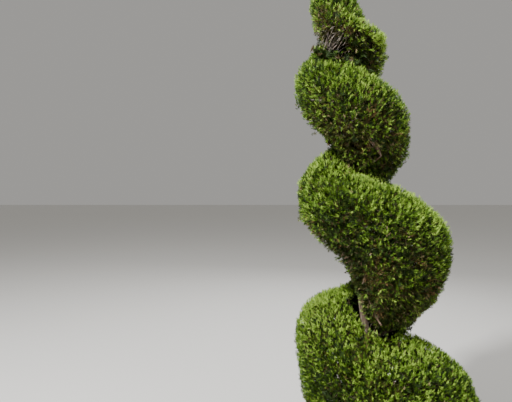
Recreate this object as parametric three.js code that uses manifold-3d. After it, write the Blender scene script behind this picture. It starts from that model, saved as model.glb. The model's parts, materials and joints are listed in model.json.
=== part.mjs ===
// A spiral topiary: a clipped evergreen conifer whose foliage winds down round one leaning trunk.
// Millimetres, +Z up, the origin at the middle of the flat cut under the trunk, the front towards -Y.
// The foliage is one band wound round the trunk. Places along it are counted in half turns: the band
// is at its leftmost (-X) on even counts and at its rightmost (+X) on odd ones, and passes in front
// of the trunk half way between an even count and the next odd one.
import * as THREE from "three";
import { mergeVertices } from "three/addons/utils/BufferGeometryUtils.js";
import Module from "manifold-3d";

// The crown's outline
const TOP = 2200; // tip of the foliage above the cut
const CROWN_REACH = 371; // reach of the band from its axis at FOOT_LEVEL
const FOOT_LEVEL = 300;
const CROWN_POWER = 0.543; // how the reach closes in towards the tip
const WIDEST = 385;
const CLOSE = 24; // depth of the sprays over the core
const BASE = 90; // clipped underside of the lowest turn

// The line of the axis: it starts AXIS_SHIFT right of the trunk, and both lean to the left
const AXIS_SHIFT = 50;
const LEAN = -0.0715;
const BOW = -0.0276e-3;
const RING_TILT = 0.11; // each turn is tipped along with the lean

// The band: level of its middle line, and its section above and below it as shares of the pitch
const FIRST_LEVEL = 1929;
const FALL = 100.1;
const FALL_GROWTH = 18.8;
const SHARE_UP = 0.481;
const SHARE_DOWN = 0.444;
const POWER_UP = 1.93;
const POWER_DOWN = 2.12;
const INNER_SHARE = 0.32; // the foliage starts at this share of the reach
const BAND_START = -0.6;
const BAND_END = 8.35;
const TAIL = 0.5; // the last part of the band, which rounds off
const LEVEL_OUT = { at: 7.1, over: 0.12, level: 205, up: 95, down: 115 };
// Where the clipping strays from the rule: at a count, over a spread of counts, by these sizes, and
// how much fuller the section is above (fullUp) and below (fullDown)
const STRAY_SPREAD = 0.45;
const STRAYS = [
  { at: 0, reach: -35, up: 45, down: 10 },
  { at: 0, over: 0.4, fullDown: 1.8 },
  { at: 0.5, reach: 0, up: 5, down: -45 },
  { at: 0.8, over: 0.3, reach: -6, up: -35 },
  { at: 1, reach: 27, up: -50, down: 25 },
  { at: 1.5, reach: 0, up: 22, down: 28 },
  { at: 2, reach: 16, up: 10, down: 47 },
  { at: 2.4, over: 0.18, down: 28, fullDown: 0.6 },
  { at: 2.5, reach: 0, up: 12, down: 26 },
  { at: 3, reach: -10, up: 14, down: 18 },
  { at: 3.5, reach: 0, up: -55, down: -20 },
  { at: 4, reach: 10, up: -32, down: -112 },
  { at: 4.3, reach: 0, up: 0, down: 45 },
  { at: 4.3, over: 0.06, down: 25 },
  { at: 4.4, over: 0.25, up: -35, fullUp: 1.2 },
  { at: 4.41, over: 0.09, down: 50 },
  { at: 4.5, reach: 0, up: -22, down: 130 },
  { at: 5, reach: 11, up: 34, down: -62 },
  { at: 5.5, reach: 0, up: -166, down: 138 },
  { at: 6, reach: 4, up: -118, down: 48 },
  { at: 6, over: 0.35, up: 30, down: -12, fullUp: 0.8, fullDown: 1.8 },
  { at: 6.5, reach: 0, up: -86, down: -40 },
  { at: 6.7, over: 0.3, up: -12 },
  { at: 6.9, over: 0.4, up: -10 },
  { at: 7, reach: -10, up: 108, down: -30 },
];

// The pointed tip over the band
const TIP_FOOT = 1988;
const TIP_SHARE = 0.9;

// The trunk
const TRUNK_TOP = 2125;
const TRUNK_BUTT = 19;
const TRUNK_END = 3;
const FLARE = 17;
const FLARE_HEIGHT = 50;
const CROOK = 7;
const TRUNK_SIDES = 10;
const TRUNK_RINGS = 18;

// Masses, boughs and sprays
const MASS_LENGTH = 455; // length of band in one mass
const MASS_GAP = 1.2;
const SEAT = 0.3; // clearance where a piece meets the one that carries it
const SLEEVE = 12; // free room round the trunk where it passes a mass
const CORE_STEP = 64;
const CORE_SIDES = 12;
const OUTER_SIDES = 9;
const ROUGH = 7; // unevenness of the core
const BOUGH_DROP = 0.58; // a bough leaves the trunk this share of the pitch under its mass
const BOUGH_OUT = 0.5; // and ends at this share of the reach
const LOW_BOUGH_RISE = -0.2; // on the lowest turns it ends at the inner side, at this share of the depth
const BOUGH_START = 0.46; // its butt as a share of the trunk's radius
const BOUGH_TIP = 4.2;
const STEM_IN = 46;
const FORKS = 3;
const SPRAY_STEP = 143;
const SPRAY_LENGTH = 96;
const SPRAY_WIDTH = 76;
const SPRAY_THICK = 2;
const SPRAY_RISE = 0.55; // how far sprays turn upwards
const SEED = 20517;

const LEAF = { color: 0x5d7a29, roughness: 0.85, metalness: 0 };
const BARK = { color: 0x8b7867, roughness: 0.9, metalness: 0 };

const wasm = await Module();
wasm.setup();
const { Manifold, Mesh } = wasm;

let state = SEED;
// A repeatable random number from low to high.
function random(low, high) {
  state = (state + 0x6d2b79f5) | 0;
  let t = Math.imul(state ^ (state >>> 15), 1 | state);
  t = (t + Math.imul(t ^ (t >>> 7), 61 | t)) ^ t;
  return low + (high - low) * (((t ^ (t >>> 14)) >>> 0) / 4294967296);
}

// A repeatable number from -1 to 1 for a place on a core.
function unevenness(row, column) {
  const s = Math.sin(row * 12.9898 + column * 78.233 + SEED) * 43758.5453;
  return 2 * (s - Math.floor(s)) - 1;
}

// A closed geometry as a solid with its faces outward.
function solid(geometry) {
  geometry.deleteAttribute("normal");
  geometry.deleteAttribute("uv");
  const merged = mergeVertices(geometry, 1e-4);
  const triVerts = new Uint32Array(merged.index.array);
  const mesh = { numProp: 3, vertProperties: merged.attributes.position.array, triVerts };
  const made = new Manifold(new Mesh(mesh));
  if (made.volume() > 0) return made;
  for (let i = 0; i < triVerts.length; i += 3) {
    [triVerts[i + 1], triVerts[i + 2]] = [triVerts[i + 2], triVerts[i + 1]];
  }
  return new Manifold(new Mesh(mesh));
}

// A cylinder bent to a new form: place(along, side, out) gives the point for a share of its length,
// the number of its side edge, and 0 on the axis or 1 on the surface.
function bent(sides, rings, place) {
  const geometry = new THREE.CylinderGeometry(1, 1, 1, sides, rings);
  const position = geometry.attributes.position;
  for (let i = 0; i < position.count; i++) {
    const x = position.getX(i);
    const z = position.getZ(i);
    const out = Math.hypot(x, z) > 0.5 ? 1 : 0;
    const turn = (Math.atan2(x, z) / (2 * Math.PI) + 1) % 1;
    const point = place(position.getY(i) + 0.5, Math.round(turn * sides) % sides, out);
    position.setXYZ(i, point.x, point.y, point.z);
  }
  return solid(geometry);
}

// The one largest body of a solid.
function largest(made) {
  return made.decompose().sort((a, b) => b.volume() - a.volume())[0];
}

// Sideways place of the spiral's axis at a level.
function axisX(z) {
  return AXIS_SHIFT + LEAN * z + BOW * z * z;
}

// Reach of the crown at a level.
function crownReach(z) {
  const share = Math.max(TOP - z, 0) / (TOP - FOOT_LEVEL);
  return Math.min(CROWN_REACH * share ** CROWN_POWER, WIDEST);
}

// The band's middle level, pitch, reach, section heights and fullness at a count of half turns.
function strand(n) {
  const pitch = 2 * (FALL + 2 * FALL_GROWTH * n);
  const steep = FIRST_LEVEL - FALL * n - FALL_GROWTH * n * n;
  const free = 1 / (1 + Math.exp((n - LEVEL_OUT.at) / LEVEL_OUT.over));
  const level = steep * free + LEVEL_OUT.level * (1 - free);
  let reach = crownReach(level);
  let up = SHARE_UP * pitch * free + LEVEL_OUT.up * (1 - free);
  let down = SHARE_DOWN * pitch * free + LEVEL_OUT.down * (1 - free);
  let powerUp = POWER_UP;
  let powerDown = POWER_DOWN;
  for (const stray of STRAYS) {
    const near = Math.exp(-(((n - stray.at) / (stray.over ?? STRAY_SPREAD)) ** 2));
    reach += (stray.reach ?? 0) * near;
    up += (stray.up ?? 0) * near;
    down += (stray.down ?? 0) * near;
    powerUp += (stray.fullUp ?? 0) * near;
    powerDown += (stray.fullDown ?? 0) * near;
  }
  const past = Math.max(0, (n - (BAND_END - TAIL)) / TAIL);
  const rounding = Math.sqrt(Math.max(0.02, 1 - past * past));
  return { level, pitch, reach, up, down, powerUp, powerDown, rounding };
}

// The point at a reach and a rise from the band's middle line.
function onBand(n, reach, rise, lowest) {
  const theta = Math.PI * (1 + n);
  const side = reach * Math.cos(theta);
  const level = strand(n).level + rise;
  const z = Math.max(level + RING_TILT * side, lowest);
  return new THREE.Vector3(axisX(level) + side, reach * Math.sin(theta), z);
}

// A point of the band's surface, sunk by a depth: bearing runs from PI/2 on top to -PI/2 beneath.
function skin(n, bearing, depth) {
  const { reach, up, down, powerUp, powerDown, rounding } = strand(n);
  const power = 2 / (bearing > 0 ? powerUp : powerDown);
  const tall = (bearing > 0 ? up : down) - depth;
  const middle = 0.65 * reach;
  const out = Math.max((reach - depth) * Math.cos(bearing) ** power, INNER_SHARE * reach);
  const rise = Math.sign(bearing) * tall * Math.abs(Math.sin(bearing)) ** power;
  return onBand(n, middle + (out - middle) * rounding, rise * rounding, BASE + depth);
}

// The count of half turns at which a point lies, near a given count.
function countAt(point, near) {
  let side = point.x - axisX(point.z);
  side = point.x - axisX(point.z - RING_TILT * side);
  const raw = Math.atan2(point.y, side) / Math.PI - 1;
  return raw + 2 * Math.round((near - raw) / 2);
}

function trunkRadius(z) {
  const taper = Math.max(1 - z / TRUNK_TOP, 0);
  return TRUNK_BUTT * taper + TRUNK_END + FLARE * Math.exp(-z / FLARE_HEIGHT);
}

// Middle of the trunk at a level: it starts under the origin and nears the axis towards the tip.
function trunkAt(z) {
  const grown = Math.min(z / 300, 1);
  const x = axisX(z) - AXIS_SHIFT * (1 - (z / TOP) ** 3);
  const sway = grown * CROOK * Math.sin(z / 190);
  return new THREE.Vector3(x + sway, grown * CROOK * Math.sin(z / 260 + 1), z);
}

// The trunk's solid, thickened by a clearance.
function trunkSolid(extra) {
  const wide = extra / Math.cos(Math.PI / TRUNK_SIDES);
  return bent(TRUNK_SIDES, TRUNK_RINGS, (along, side, out) => {
    const z = TRUNK_TOP * along ** 1.25;
    const raised = along === 0 ? -extra : along === 1 ? extra : 0;
    const angle = (2 * Math.PI * side) / TRUNK_SIDES;
    const r = out * (trunkRadius(z) + wide);
    const middle = trunkAt(z);
    return new THREE.Vector3(middle.x + r * Math.cos(angle), middle.y + r * Math.sin(angle), z + raised);
  });
}

// A limb along a curve, its radius going from butt to tip.
function limb(curve, butt, tip, sides, rings) {
  const up = new THREE.Vector3(0, 0, 1);
  return bent(sides, rings, (along, side, out) => {
    const tangent = curve.getTangent(along);
    const across = new THREE.Vector3().crossVectors(up, tangent).normalize();
    const over = new THREE.Vector3().crossVectors(tangent, across);
    const angle = (2 * Math.PI * side) / sides;
    const r = out * (butt + (tip - butt) * along);
    return curve
      .getPoint(along)
      .addScaledVector(across, r * Math.cos(angle))
      .addScaledVector(over, r * Math.sin(angle));
  });
}

// The curve of the bough that carries the mass centred at n.
function boughCurve(n) {
  const { level, pitch, reach, down, powerDown } = strand(n);
  const leave = Math.max(level - BOUGH_DROP * Math.min(pitch, 2.4 * down), 75);
  const drop = (1 - BOUGH_OUT ** powerDown) ** (1 / powerDown);
  const low = level - down < 1.5 * BASE;
  const end = low
    ? onBand(n, INNER_SHARE * reach - 9, LOW_BOUGH_RISE * down, BASE)
    : onBand(n, BOUGH_OUT * reach, -(down - CLOSE) * drop - 9, BASE);
  const start = trunkAt(leave);
  const bend = start.clone().lerp(end, 0.55);
  bend.z = start.z + 0.36 * (end.z - start.z);
  return new THREE.QuadraticBezierCurve3(start, bend, end);
}

// The toothed blade of a spray, standing on its root with its face towards +Y before it is placed.
const blade = new THREE.Shape([
  new THREE.Vector2(0, 0),
  new THREE.Vector2(0.5, 0.8),
  new THREE.Vector2(0.13, 0.64),
  new THREE.Vector2(-0.02, 1),
  new THREE.Vector2(-0.44, 0.66),
]);

// A spray with its tip at a point, grown along a direction.
function spray(tip, direction, size) {
  const extrusion = { depth: 1, bevelEnabled: false, steps: 1 };
  const geometry = new THREE.ExtrudeGeometry(blade, extrusion).translate(0, 0, -0.5);
  const width = SPRAY_WIDTH * size * (random(0, 1) < 0.5 ? -1 : 1);
  const length = SPRAY_LENGTH * size;
  const turned = new THREE.Quaternion().setFromUnitVectors(new THREE.Vector3(0, 1, 0), direction);
  const spun = new THREE.Quaternion().setFromAxisAngle(direction, random(0, 2 * Math.PI));
  const root = tip.clone().addScaledVector(direction, -length);
  const placed = new THREE.Matrix4().compose(
    root,
    spun.multiply(turned),
    new THREE.Vector3(width, length, SPRAY_THICK * size),
  );
  return geometry.applyMatrix4(placed);
}

// Whether every corner of a geometry lies between two counts, and over the clipped base.
function keepsTo(geometry, from, to) {
  const position = geometry.attributes.position;
  const corner = new THREE.Vector3();
  for (let i = 0; i < position.count; i++) {
    corner.fromBufferAttribute(position, i);
    const n = countAt(corner, (from + to) / 2);
    const margin = MASS_GAP / (Math.PI * 60);
    if (n < from + margin || n > to - margin || corner.z < BASE - 8) return false;
  }
  return true;
}

// The direction of growth at a surface point, from a point under it, turned upwards.
function growth(surface, under, rise) {
  const out = surface.clone().sub(under).normalize();
  out.z += rise;
  out.x += random(-0.22, 0.22);
  out.y += random(-0.22, 0.22);
  return out.normalize();
}

// The counts at which the band is cut into masses of about one length.
function cuts() {
  const step = 0.01;
  const marks = [BAND_START];
  let run = 0;
  for (let n = BAND_START; n < BAND_END; n += step) {
    run += step * Math.PI * strand(n).reach;
    if (run < MASS_LENGTH) continue;
    marks.push(n);
    run = 0;
  }
  if (run < MASS_LENGTH / 2) marks.pop();
  marks.push(BAND_END);
  return marks;
}

// The core of the band from one count to another.
function core(from, to) {
  const length = Math.PI * (to - from) * strand((from + to) / 2).reach;
  const rows = Math.max(3, Math.round(length / CORE_STEP));
  const gap = MASS_GAP / (2 * Math.PI * INNER_SHARE * strand(from).reach);
  return bent(CORE_SIDES, rows, (along, side, out) => {
    const n = from + gap + (to - from - 2 * gap) * along;
    const { reach, up, down, rounding } = strand(n);
    const middle = 0.65 * reach;
    if (!out) return onBand(n, middle, 0, BASE + CLOSE);
    if (side < OUTER_SIDES) {
      const bearing = Math.PI * (0.46 - (0.92 * side) / (OUTER_SIDES - 1));
      const inside = along > 0 && along < 1 ? 1 : 0;
      const rough = inside * ROUGH * unevenness(Math.round(n * 97), side);
      return skin(n, bearing, CLOSE + rough);
    }
    const drop = (side - OUTER_SIDES + 1) / (CORE_SIDES - OUTER_SIDES + 1);
    const rise = -(down - CLOSE) + (up + down - 2 * CLOSE) * drop;
    const inner = middle + (INNER_SHARE * reach - middle) * rounding;
    return onBand(n, inner, 0.96 * rise * rounding, BASE + CLOSE);
  });
}

// The sprays of the band from one count to another.
function bandSprays(from, to) {
  const sprays = [];
  const { reach, up, down } = strand((from + to) / 2);
  const along = Math.max(2, Math.round((Math.PI * (to - from) * reach) / SPRAY_STEP));
  const round = Math.max(3, Math.round((2.1 * reach * 0.55 + up + down) / SPRAY_STEP));
  const size = THREE.MathUtils.clamp(reach / 250, 0.72, 1);
  for (let i = 0; i < along; i++) {
    for (let j = 0; j < round; j++) {
      const shift = (j % 2) * 0.5 - 0.25;
      const share = (i + 0.5 + shift + random(-0.15, 0.15)) / along;
      const n = from + (to - from) * THREE.MathUtils.clamp(share, 0.06, 0.94);
      const bearing = Math.PI * (0.43 - (0.86 * (j + random(0.35, 0.65))) / round);
      const tip = skin(n, bearing, random(0, 7));
      const rise = bearing < -0.8 ? 0.1 : SPRAY_RISE;
      const direction = growth(tip, skin(n, 0.55 * bearing, 110), rise);
      sprays.push(spray(tip, direction, size * random(0.9, 1.06)));
    }
  }
  return sprays;
}

// A share of the crown's reach at a level of the pointed tip.
function tipRadius(z, depth) {
  return Math.max(TIP_SHARE * crownReach(z) - depth, 5);
}

// The core of the pointed tip.
function tipCore() {
  const sides = 10;
  return bent(sides, 4, (along, side, out) => {
    const z = TIP_FOOT + (TOP - 1.3 * CLOSE - TIP_FOOT) * along;
    const angle = (2 * Math.PI * (side + 0.5 * (Math.round(along * 4) % 2))) / sides;
    const rough = along > 0 && along < 1 ? 0.5 * ROUGH * unevenness(Math.round(z), side) : 0;
    const r = out * tipRadius(z, CLOSE + rough);
    const side0 = r * Math.cos(angle);
    return new THREE.Vector3(axisX(z) + side0, r * Math.sin(angle), z + RING_TILT * side0);
  });
}

// The sprays of the pointed tip, and the leader at its top.
function tipSprays() {
  const sprays = [];
  const rows = 4;
  for (let row = 0; row < rows; row++) {
    const z = TIP_FOOT + 22 + ((TOP - 45 - TIP_FOOT) * row) / rows;
    const count = Math.max(4, Math.round((2 * Math.PI * tipRadius(z, 0)) / 100));
    for (let i = 0; i < count; i++) {
      const angle = (2 * Math.PI * (i + 0.5 * (row % 2) + random(-0.15, 0.15))) / count;
      const r = tipRadius(z, random(0, 5));
      const tip = new THREE.Vector3(axisX(z) + r * Math.cos(angle), r * Math.sin(angle), z);
      const under = new THREE.Vector3(axisX(z), 0, z - 20);
      sprays.push(spray(tip, growth(tip, under, 0.9), 0.72));
    }
  }
  const leader = new THREE.Vector3(axisX(TOP), 0, TOP);
  for (const turn of [0, 1]) {
    sprays.push(spray(leader.clone().setZ(TOP - 12 * turn), new THREE.Vector3(0, 0, 1), 0.8));
  }
  return sprays;
}

// The stem that carries a mass on from its bough's tip, with bare twigs forking off it.
function stemAndTwigs(curve, n) {
  const direction = curve.getTangent(1);
  const start = curve.getPoint(1).addScaledVector(direction, SEAT);
  const end = start.clone().addScaledVector(direction, STEM_IN);
  const pieces = [limb(new THREE.LineCurve3(start, end), BOUGH_TIP, 0.7 * BOUGH_TIP, 5, 1)];
  const { reach, up, down } = strand(n);
  for (let i = 0; i < FORKS; i++) {
    const fork = start.clone().addScaledVector(direction, 4 + 2.5 * i);
    const swing = (i - (FORKS - 1) / 2) * 0.1 + random(-0.02, 0.02);
    const far = onBand(n + swing, random(0.6, 0.72) * reach, 0.2 * (up - down), BASE);
    const bend = fork.clone().lerp(far, 0.4);
    const path = new THREE.QuadraticBezierCurve3(fork, bend, far);
    pieces.push(limb(path, 0.55 * BOUGH_TIP, 0.3 * BOUGH_TIP, 3, 2));
  }
  return pieces;
}

// One solid from a core, its stem and the sprays that keep to their place and touch no limb.
function fuse(base, carriers, sprays, from, to, limbs) {
  const kept = sprays
    .filter((geometry) => keepsTo(geometry, from, to))
    .map((geometry) => solid(geometry))
    .filter((made) => limbs.every((other) => made.intersect(other).volume() === 0));
  return largest(Manifold.union([base, ...carriers, ...kept]));
}

const topiary = new THREE.Group();
topiary.name = "spiral_topiary";

// Adds a solid to the group as a named mesh.
function addNode(name, made, look) {
  const { vertProperties, triVerts } = made.getMesh();
  const geometry = new THREE.BufferGeometry();
  geometry.setAttribute("position", new THREE.BufferAttribute(vertProperties, 3));
  geometry.setIndex(new THREE.BufferAttribute(triVerts, 1));
  geometry.computeVertexNormals();
  const mesh = new THREE.Mesh(geometry, new THREE.MeshStandardMaterial(look));
  mesh.name = name;
  topiary.add(mesh);
}

const trunk = trunkSolid(0);
const trunkRoom = trunkSolid(SEAT + 0.03);
const sleeve = trunkSolid(SLEEVE);
const marks = cuts();
const masses = marks.slice(1).map((to, i) => ({ from: marks[i], to, middle: (marks[i] + to) / 2 }));
const [top, ...lower] = masses;

const boughs = lower.map(({ middle }) => {
  const curve = boughCurve(middle);
  const butt = BOUGH_START * trunkRadius(curve.getPoint(0).z);
  const made = limb(curve, Math.max(butt, BOUGH_TIP), BOUGH_TIP, 6, 4);
  const room = limb(curve, butt + 2, BOUGH_TIP + 2, 6, 4);
  return { curve, room, made: largest(made.subtract(trunkRoom)) };
});
const limbs = [trunkRoom, ...boughs.map(({ room }) => room)];
const rooms = Manifold.union(boughs.map(({ room }) => room));

addNode("trunk", trunk, BARK);
const tipBody = Manifold.union([tipCore(), core(top.from, top.to)]).subtract(trunkRoom);
const tipAll = [...tipSprays(), ...bandSprays(top.from, top.to)];
addNode("foliage_tip", fuse(tipBody, [], tipAll, top.from - 1, top.to, limbs), LEAF);
lower.forEach(({ from, to, middle }, i) => {
  const { curve, made } = boughs[i];
  const name = String(i + 1).padStart(2, "0");
  const body = largest(core(from, to).subtract(sleeve).subtract(rooms));
  const carriers = stemAndTwigs(curve, middle);
  addNode("bough_" + name, made, BARK);
  addNode("foliage_" + name, fuse(body, carriers, bandSprays(from, to), from, to, limbs), LEAF);
});

export default topiary;
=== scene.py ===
"""Spiral topiary: the looks of a clipped conifer whose foliage winds down round a leaning trunk.

The crown's rule is the solid model's own, carried on here to finer twigs and to sprays of scale
leaves. Lengths are in metres; counts along the band are half turns, even ones to the left.
"""
import json
import logging
import math
from dataclasses import dataclass, field, fields
from enum import Enum

import bpy
import numpy as np
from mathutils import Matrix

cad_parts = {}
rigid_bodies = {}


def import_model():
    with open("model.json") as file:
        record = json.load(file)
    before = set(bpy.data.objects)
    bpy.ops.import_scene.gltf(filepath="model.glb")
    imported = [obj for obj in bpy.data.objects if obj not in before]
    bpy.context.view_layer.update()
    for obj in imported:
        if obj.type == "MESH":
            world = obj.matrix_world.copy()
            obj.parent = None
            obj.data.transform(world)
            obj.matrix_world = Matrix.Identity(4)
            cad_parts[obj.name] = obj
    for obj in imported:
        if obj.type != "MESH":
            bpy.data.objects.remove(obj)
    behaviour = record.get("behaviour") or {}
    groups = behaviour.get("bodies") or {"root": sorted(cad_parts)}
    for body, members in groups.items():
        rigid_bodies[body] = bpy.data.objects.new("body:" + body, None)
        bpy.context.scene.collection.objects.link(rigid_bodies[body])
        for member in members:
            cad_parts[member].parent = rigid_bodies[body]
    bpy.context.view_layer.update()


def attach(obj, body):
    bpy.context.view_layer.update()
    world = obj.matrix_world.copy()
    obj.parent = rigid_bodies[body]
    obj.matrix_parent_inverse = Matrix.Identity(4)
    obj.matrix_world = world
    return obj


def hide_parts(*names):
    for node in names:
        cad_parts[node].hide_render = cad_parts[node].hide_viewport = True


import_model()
log = logging.getLogger("spiral_topiary")

SEED = 20517
BODY = "root"
UP = np.array([0.0, 0.0, 1.0])
HASH_STEPS = np.array([73856093, 19349663, 83492791])
HASH_FIRST = 2654435761
HASH_SECOND = 2246822519
WORD = 0xFFFFFFFF
GRID_ALONG = 41
GRID_ROUND = 49

Array = np.ndarray
Colour = tuple[float, float, float]
Point = tuple[float, float, float]
Wire = tuple[bpy.types.Node, str | int, bpy.types.Node, str | int]


def unit(vectors: Array) -> Array:
    """Rows of an array scaled to length one.

    Args:
        vectors: N rows of X, Y and Z.

    Returns:
        The rows at length one.
    """
    return vectors / (np.linalg.norm(vectors, axis=-1, keepdims=True) + 1e-12)


def rows(x: Array, y: Array, z: Array) -> Array:
    """Points from their X, Y and Z."""
    return np.stack([x, y, z], axis=-1)


def soft_noise(points: Array, cell: float, seed: int) -> Array:
    """Smooth repeatable noise from 0 to 1 on a lattice.

    Args:
        points: N rows of X, Y and Z.
        cell: side of a lattice cell.
        seed: number that picks the pattern.

    Returns:
        One value for each row.
    """
    scaled = points / cell
    low = np.floor(scaled).astype(np.int64)
    part = scaled - low
    part = part * part * (3 - 2 * part)
    total = np.zeros(len(points))
    for corner in range(8):
        step = np.array([corner & 1, corner >> 1 & 1, corner >> 2 & 1])
        at = (low + step) * HASH_STEPS
        mixed = (at[:, 0] ^ at[:, 1] ^ at[:, 2] ^ seed) & WORD
        mixed = (mixed * HASH_FIRST) & WORD
        mixed ^= mixed >> 15
        mixed = (mixed * HASH_SECOND) & WORD
        weight = np.where(step > 0, part, 1 - part).prod(axis=1)
        total += weight * mixed / WORD
    return total


@dataclass(frozen=True)
class Stray:
    """How the clipping strays from the rule round a count of half turns."""

    at: float
    reach: float = 0.0
    up: float = 0.0
    down: float = 0.0
    over: float = 0.45
    full_up: float = 0.0
    full_down: float = 0.0


@dataclass(frozen=True)
class Strand:
    """The band's sizes at some counts of half turns."""

    level: Array
    pitch: Array
    reach: Array
    up: Array
    down: Array
    power_up: Array
    power_down: Array
    rounding: Array


@dataclass(frozen=True)
class Crown:
    """The clipped crown's rule: the outline, the axis and the band of foliage."""

    top: float = 2.2
    crown_reach: float = 0.371
    foot_level: float = 0.3
    crown_power: float = 0.543
    widest: float = 0.385
    base: float = 0.09
    axis_shift: float = 0.05
    lean: float = -0.0715
    bow: float = -0.0276
    ring_tilt: float = 0.11
    first_level: float = 1.929
    fall: float = 0.1001
    fall_growth: float = 0.0188
    share_up: float = 0.481
    share_down: float = 0.444
    power_up: float = 1.93
    power_down: float = 2.12
    inner_share: float = 0.32
    band_start: float = -0.6
    band_end: float = 8.35
    tail: float = 0.5
    level_out_at: float = 7.1
    level_out_over: float = 0.12
    low_level: float = 0.205
    low_up: float = 0.095
    low_down: float = 0.115
    tip_foot: float = 1.988
    tip_share: float = 0.9
    mass_length: float = 0.455
    heart: float = 0.65
    wall_share: float = 0.94
    least_round: float = 0.02
    strays: tuple[Stray, ...] = (
        Stray(0, -0.035, 0.045, 0.01),
        Stray(0, over=0.4, full_down=1.8),
        Stray(0.5, 0, 0.005, -0.045),
        Stray(0.8, -0.006, -0.035, over=0.3),
        Stray(1, 0.027, -0.05, 0.025),
        Stray(1.5, 0, 0.022, 0.028),
        Stray(2, 0.016, 0.01, 0.047),
        Stray(2.4, down=0.028, over=0.18, full_down=0.6),
        Stray(2.5, 0, 0.012, 0.026),
        Stray(3, -0.01, 0.014, 0.018),
        Stray(3.5, 0, -0.055, -0.02),
        Stray(4, 0.01, -0.032, -0.112),
        Stray(4.3, 0, 0, 0.045),
        Stray(4.3, down=0.025, over=0.06),
        Stray(4.4, up=-0.035, over=0.25, full_up=1.2),
        Stray(4.41, down=0.05, over=0.09),
        Stray(4.5, 0, -0.022, 0.13),
        Stray(5, 0.011, 0.034, -0.062),
        Stray(5.5, 0, -0.166, 0.138),
        Stray(6, 0.004, -0.118, 0.048),
        Stray(6, 0, 0.03, -0.012, 0.35, 0.8, 1.8),
        Stray(6.5, 0, -0.086, -0.04),
        Stray(6.7, up=-0.012, over=0.3),
        Stray(6.9, up=-0.01, over=0.4),
        Stray(7, -0.01, 0.108, -0.03),
    )

    def axis_x(self, z: Array) -> Array:
        """Sideways place of the spiral's axis at levels z."""
        return self.axis_shift + self.lean * z + self.bow * z * z

    def reach_at(self, z: Array) -> Array:
        """Reach of the crown at levels z."""
        share = np.maximum(self.top - z, 0) / (self.top - self.foot_level)
        return np.minimum(self.crown_reach * share**self.crown_power, self.widest)

    def strand(self, n: Array) -> Strand:
        """The band's sizes.

        Args:
            n: counts of half turns.

        Returns:
            Level, pitch, reach, heights over and under the middle line, fullness over and under
            it, and the tail's rounding.
        """
        n = np.asarray(n, dtype=float)
        pitch = 2 * (self.fall + 2 * self.fall_growth * n)
        steep = self.first_level - self.fall * n - self.fall_growth * n * n
        free = 1 / (1 + np.exp((n - self.level_out_at) / self.level_out_over))
        level = steep * free + self.low_level * (1 - free)
        reach = self.reach_at(level)
        up = self.share_up * pitch * free + self.low_up * (1 - free)
        down = self.share_down * pitch * free + self.low_down * (1 - free)
        power_up = self.power_up + 0 * n
        power_down = self.power_down + 0 * n
        for stray in self.strays:
            near = np.exp(-(((n - stray.at) / stray.over) ** 2))
            reach = reach + stray.reach * near
            up = up + stray.up * near
            down = down + stray.down * near
            power_up = power_up + stray.full_up * near
            power_down = power_down + stray.full_down * near
        past = np.maximum(0, (n - (self.band_end - self.tail)) / self.tail)
        rounding = np.sqrt(np.maximum(self.least_round, 1 - past * past))
        return Strand(level, pitch, reach, up, down, power_up, power_down, rounding)

    def on_band(self, n: Array, out: Array, rise: Array, lowest: float) -> Array:
        """Points of the band's section.

        Args:
            n: counts of half turns.
            out: distances from the axis.
            rise: heights over the band's middle line.
            lowest: level that no point goes under.

        Returns:
            N rows of X, Y and Z.
        """
        theta = np.pi * (1 + n)
        side = out * np.cos(theta)
        level = self.strand(n).level + rise
        z = np.maximum(level + self.ring_tilt * side, lowest)
        return rows(self.axis_x(level) + side, out * np.sin(theta), z)

    def rounded(self, n: Array, size: Strand, out: Array, rise: Array) -> Array:
        """Points of the section, drawn in to its heart where the band's tail rounds off.

        Args:
            n: counts of half turns.
            size: the band's sizes there.
            out: distances from the axis.
            rise: heights over the band's middle line.

        Returns:
            N rows of X, Y and Z.
        """
        heart = self.heart * size.reach
        out = heart + (out - heart) * size.rounding
        return self.on_band(n, out, rise * size.rounding, self.base)

    def skin(self, n: Array, bearing: Array, depth: Array) -> Array:
        """Points under the clipped surface.

        Args:
            n: counts of half turns.
            bearing: from PI/2 on top of the band to -PI/2 beneath it.
            depth: distance under the surface.

        Returns:
            N rows of X, Y and Z.
        """
        size = self.strand(n)
        power = 2 / np.where(bearing > 0, size.power_up, size.power_down)
        tall = np.where(bearing > 0, size.up, size.down) - depth
        out = (size.reach - depth) * np.abs(np.cos(bearing)) ** power
        out = np.maximum(out, self.inner_share * size.reach)
        rise = np.sign(bearing) * tall * np.abs(np.sin(bearing)) ** power
        return self.rounded(n, size, out, rise)

    def inner_wall(self, n: Array, share: Array, depth: Array) -> Array:
        """Points of the band's inner side.

        Args:
            n: counts of half turns.
            share: from 0 at the underside to 1 at the top.
            depth: distance into the band.

        Returns:
            N rows of X, Y and Z.
        """
        size = self.strand(n)
        rise = (-size.down + (size.up + size.down) * share) * self.wall_share
        return self.rounded(n, size, self.inner_share * size.reach + depth, rise)

    def cuts(self) -> list[float]:
        """Counts at which the band is cut into masses of about one length.

        Returns:
            The counts, both ends with them.
        """
        step = 0.01
        marks = [self.band_start]
        run = 0.0
        n = self.band_start
        while n < self.band_end:
            run += step * math.pi * float(self.strand(n).reach)
            if run >= self.mass_length:
                marks.append(n)
                run = 0.0
            n += step
        if run < self.mass_length / 2:
            marks.pop()
        return [*marks, self.band_end]


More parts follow.
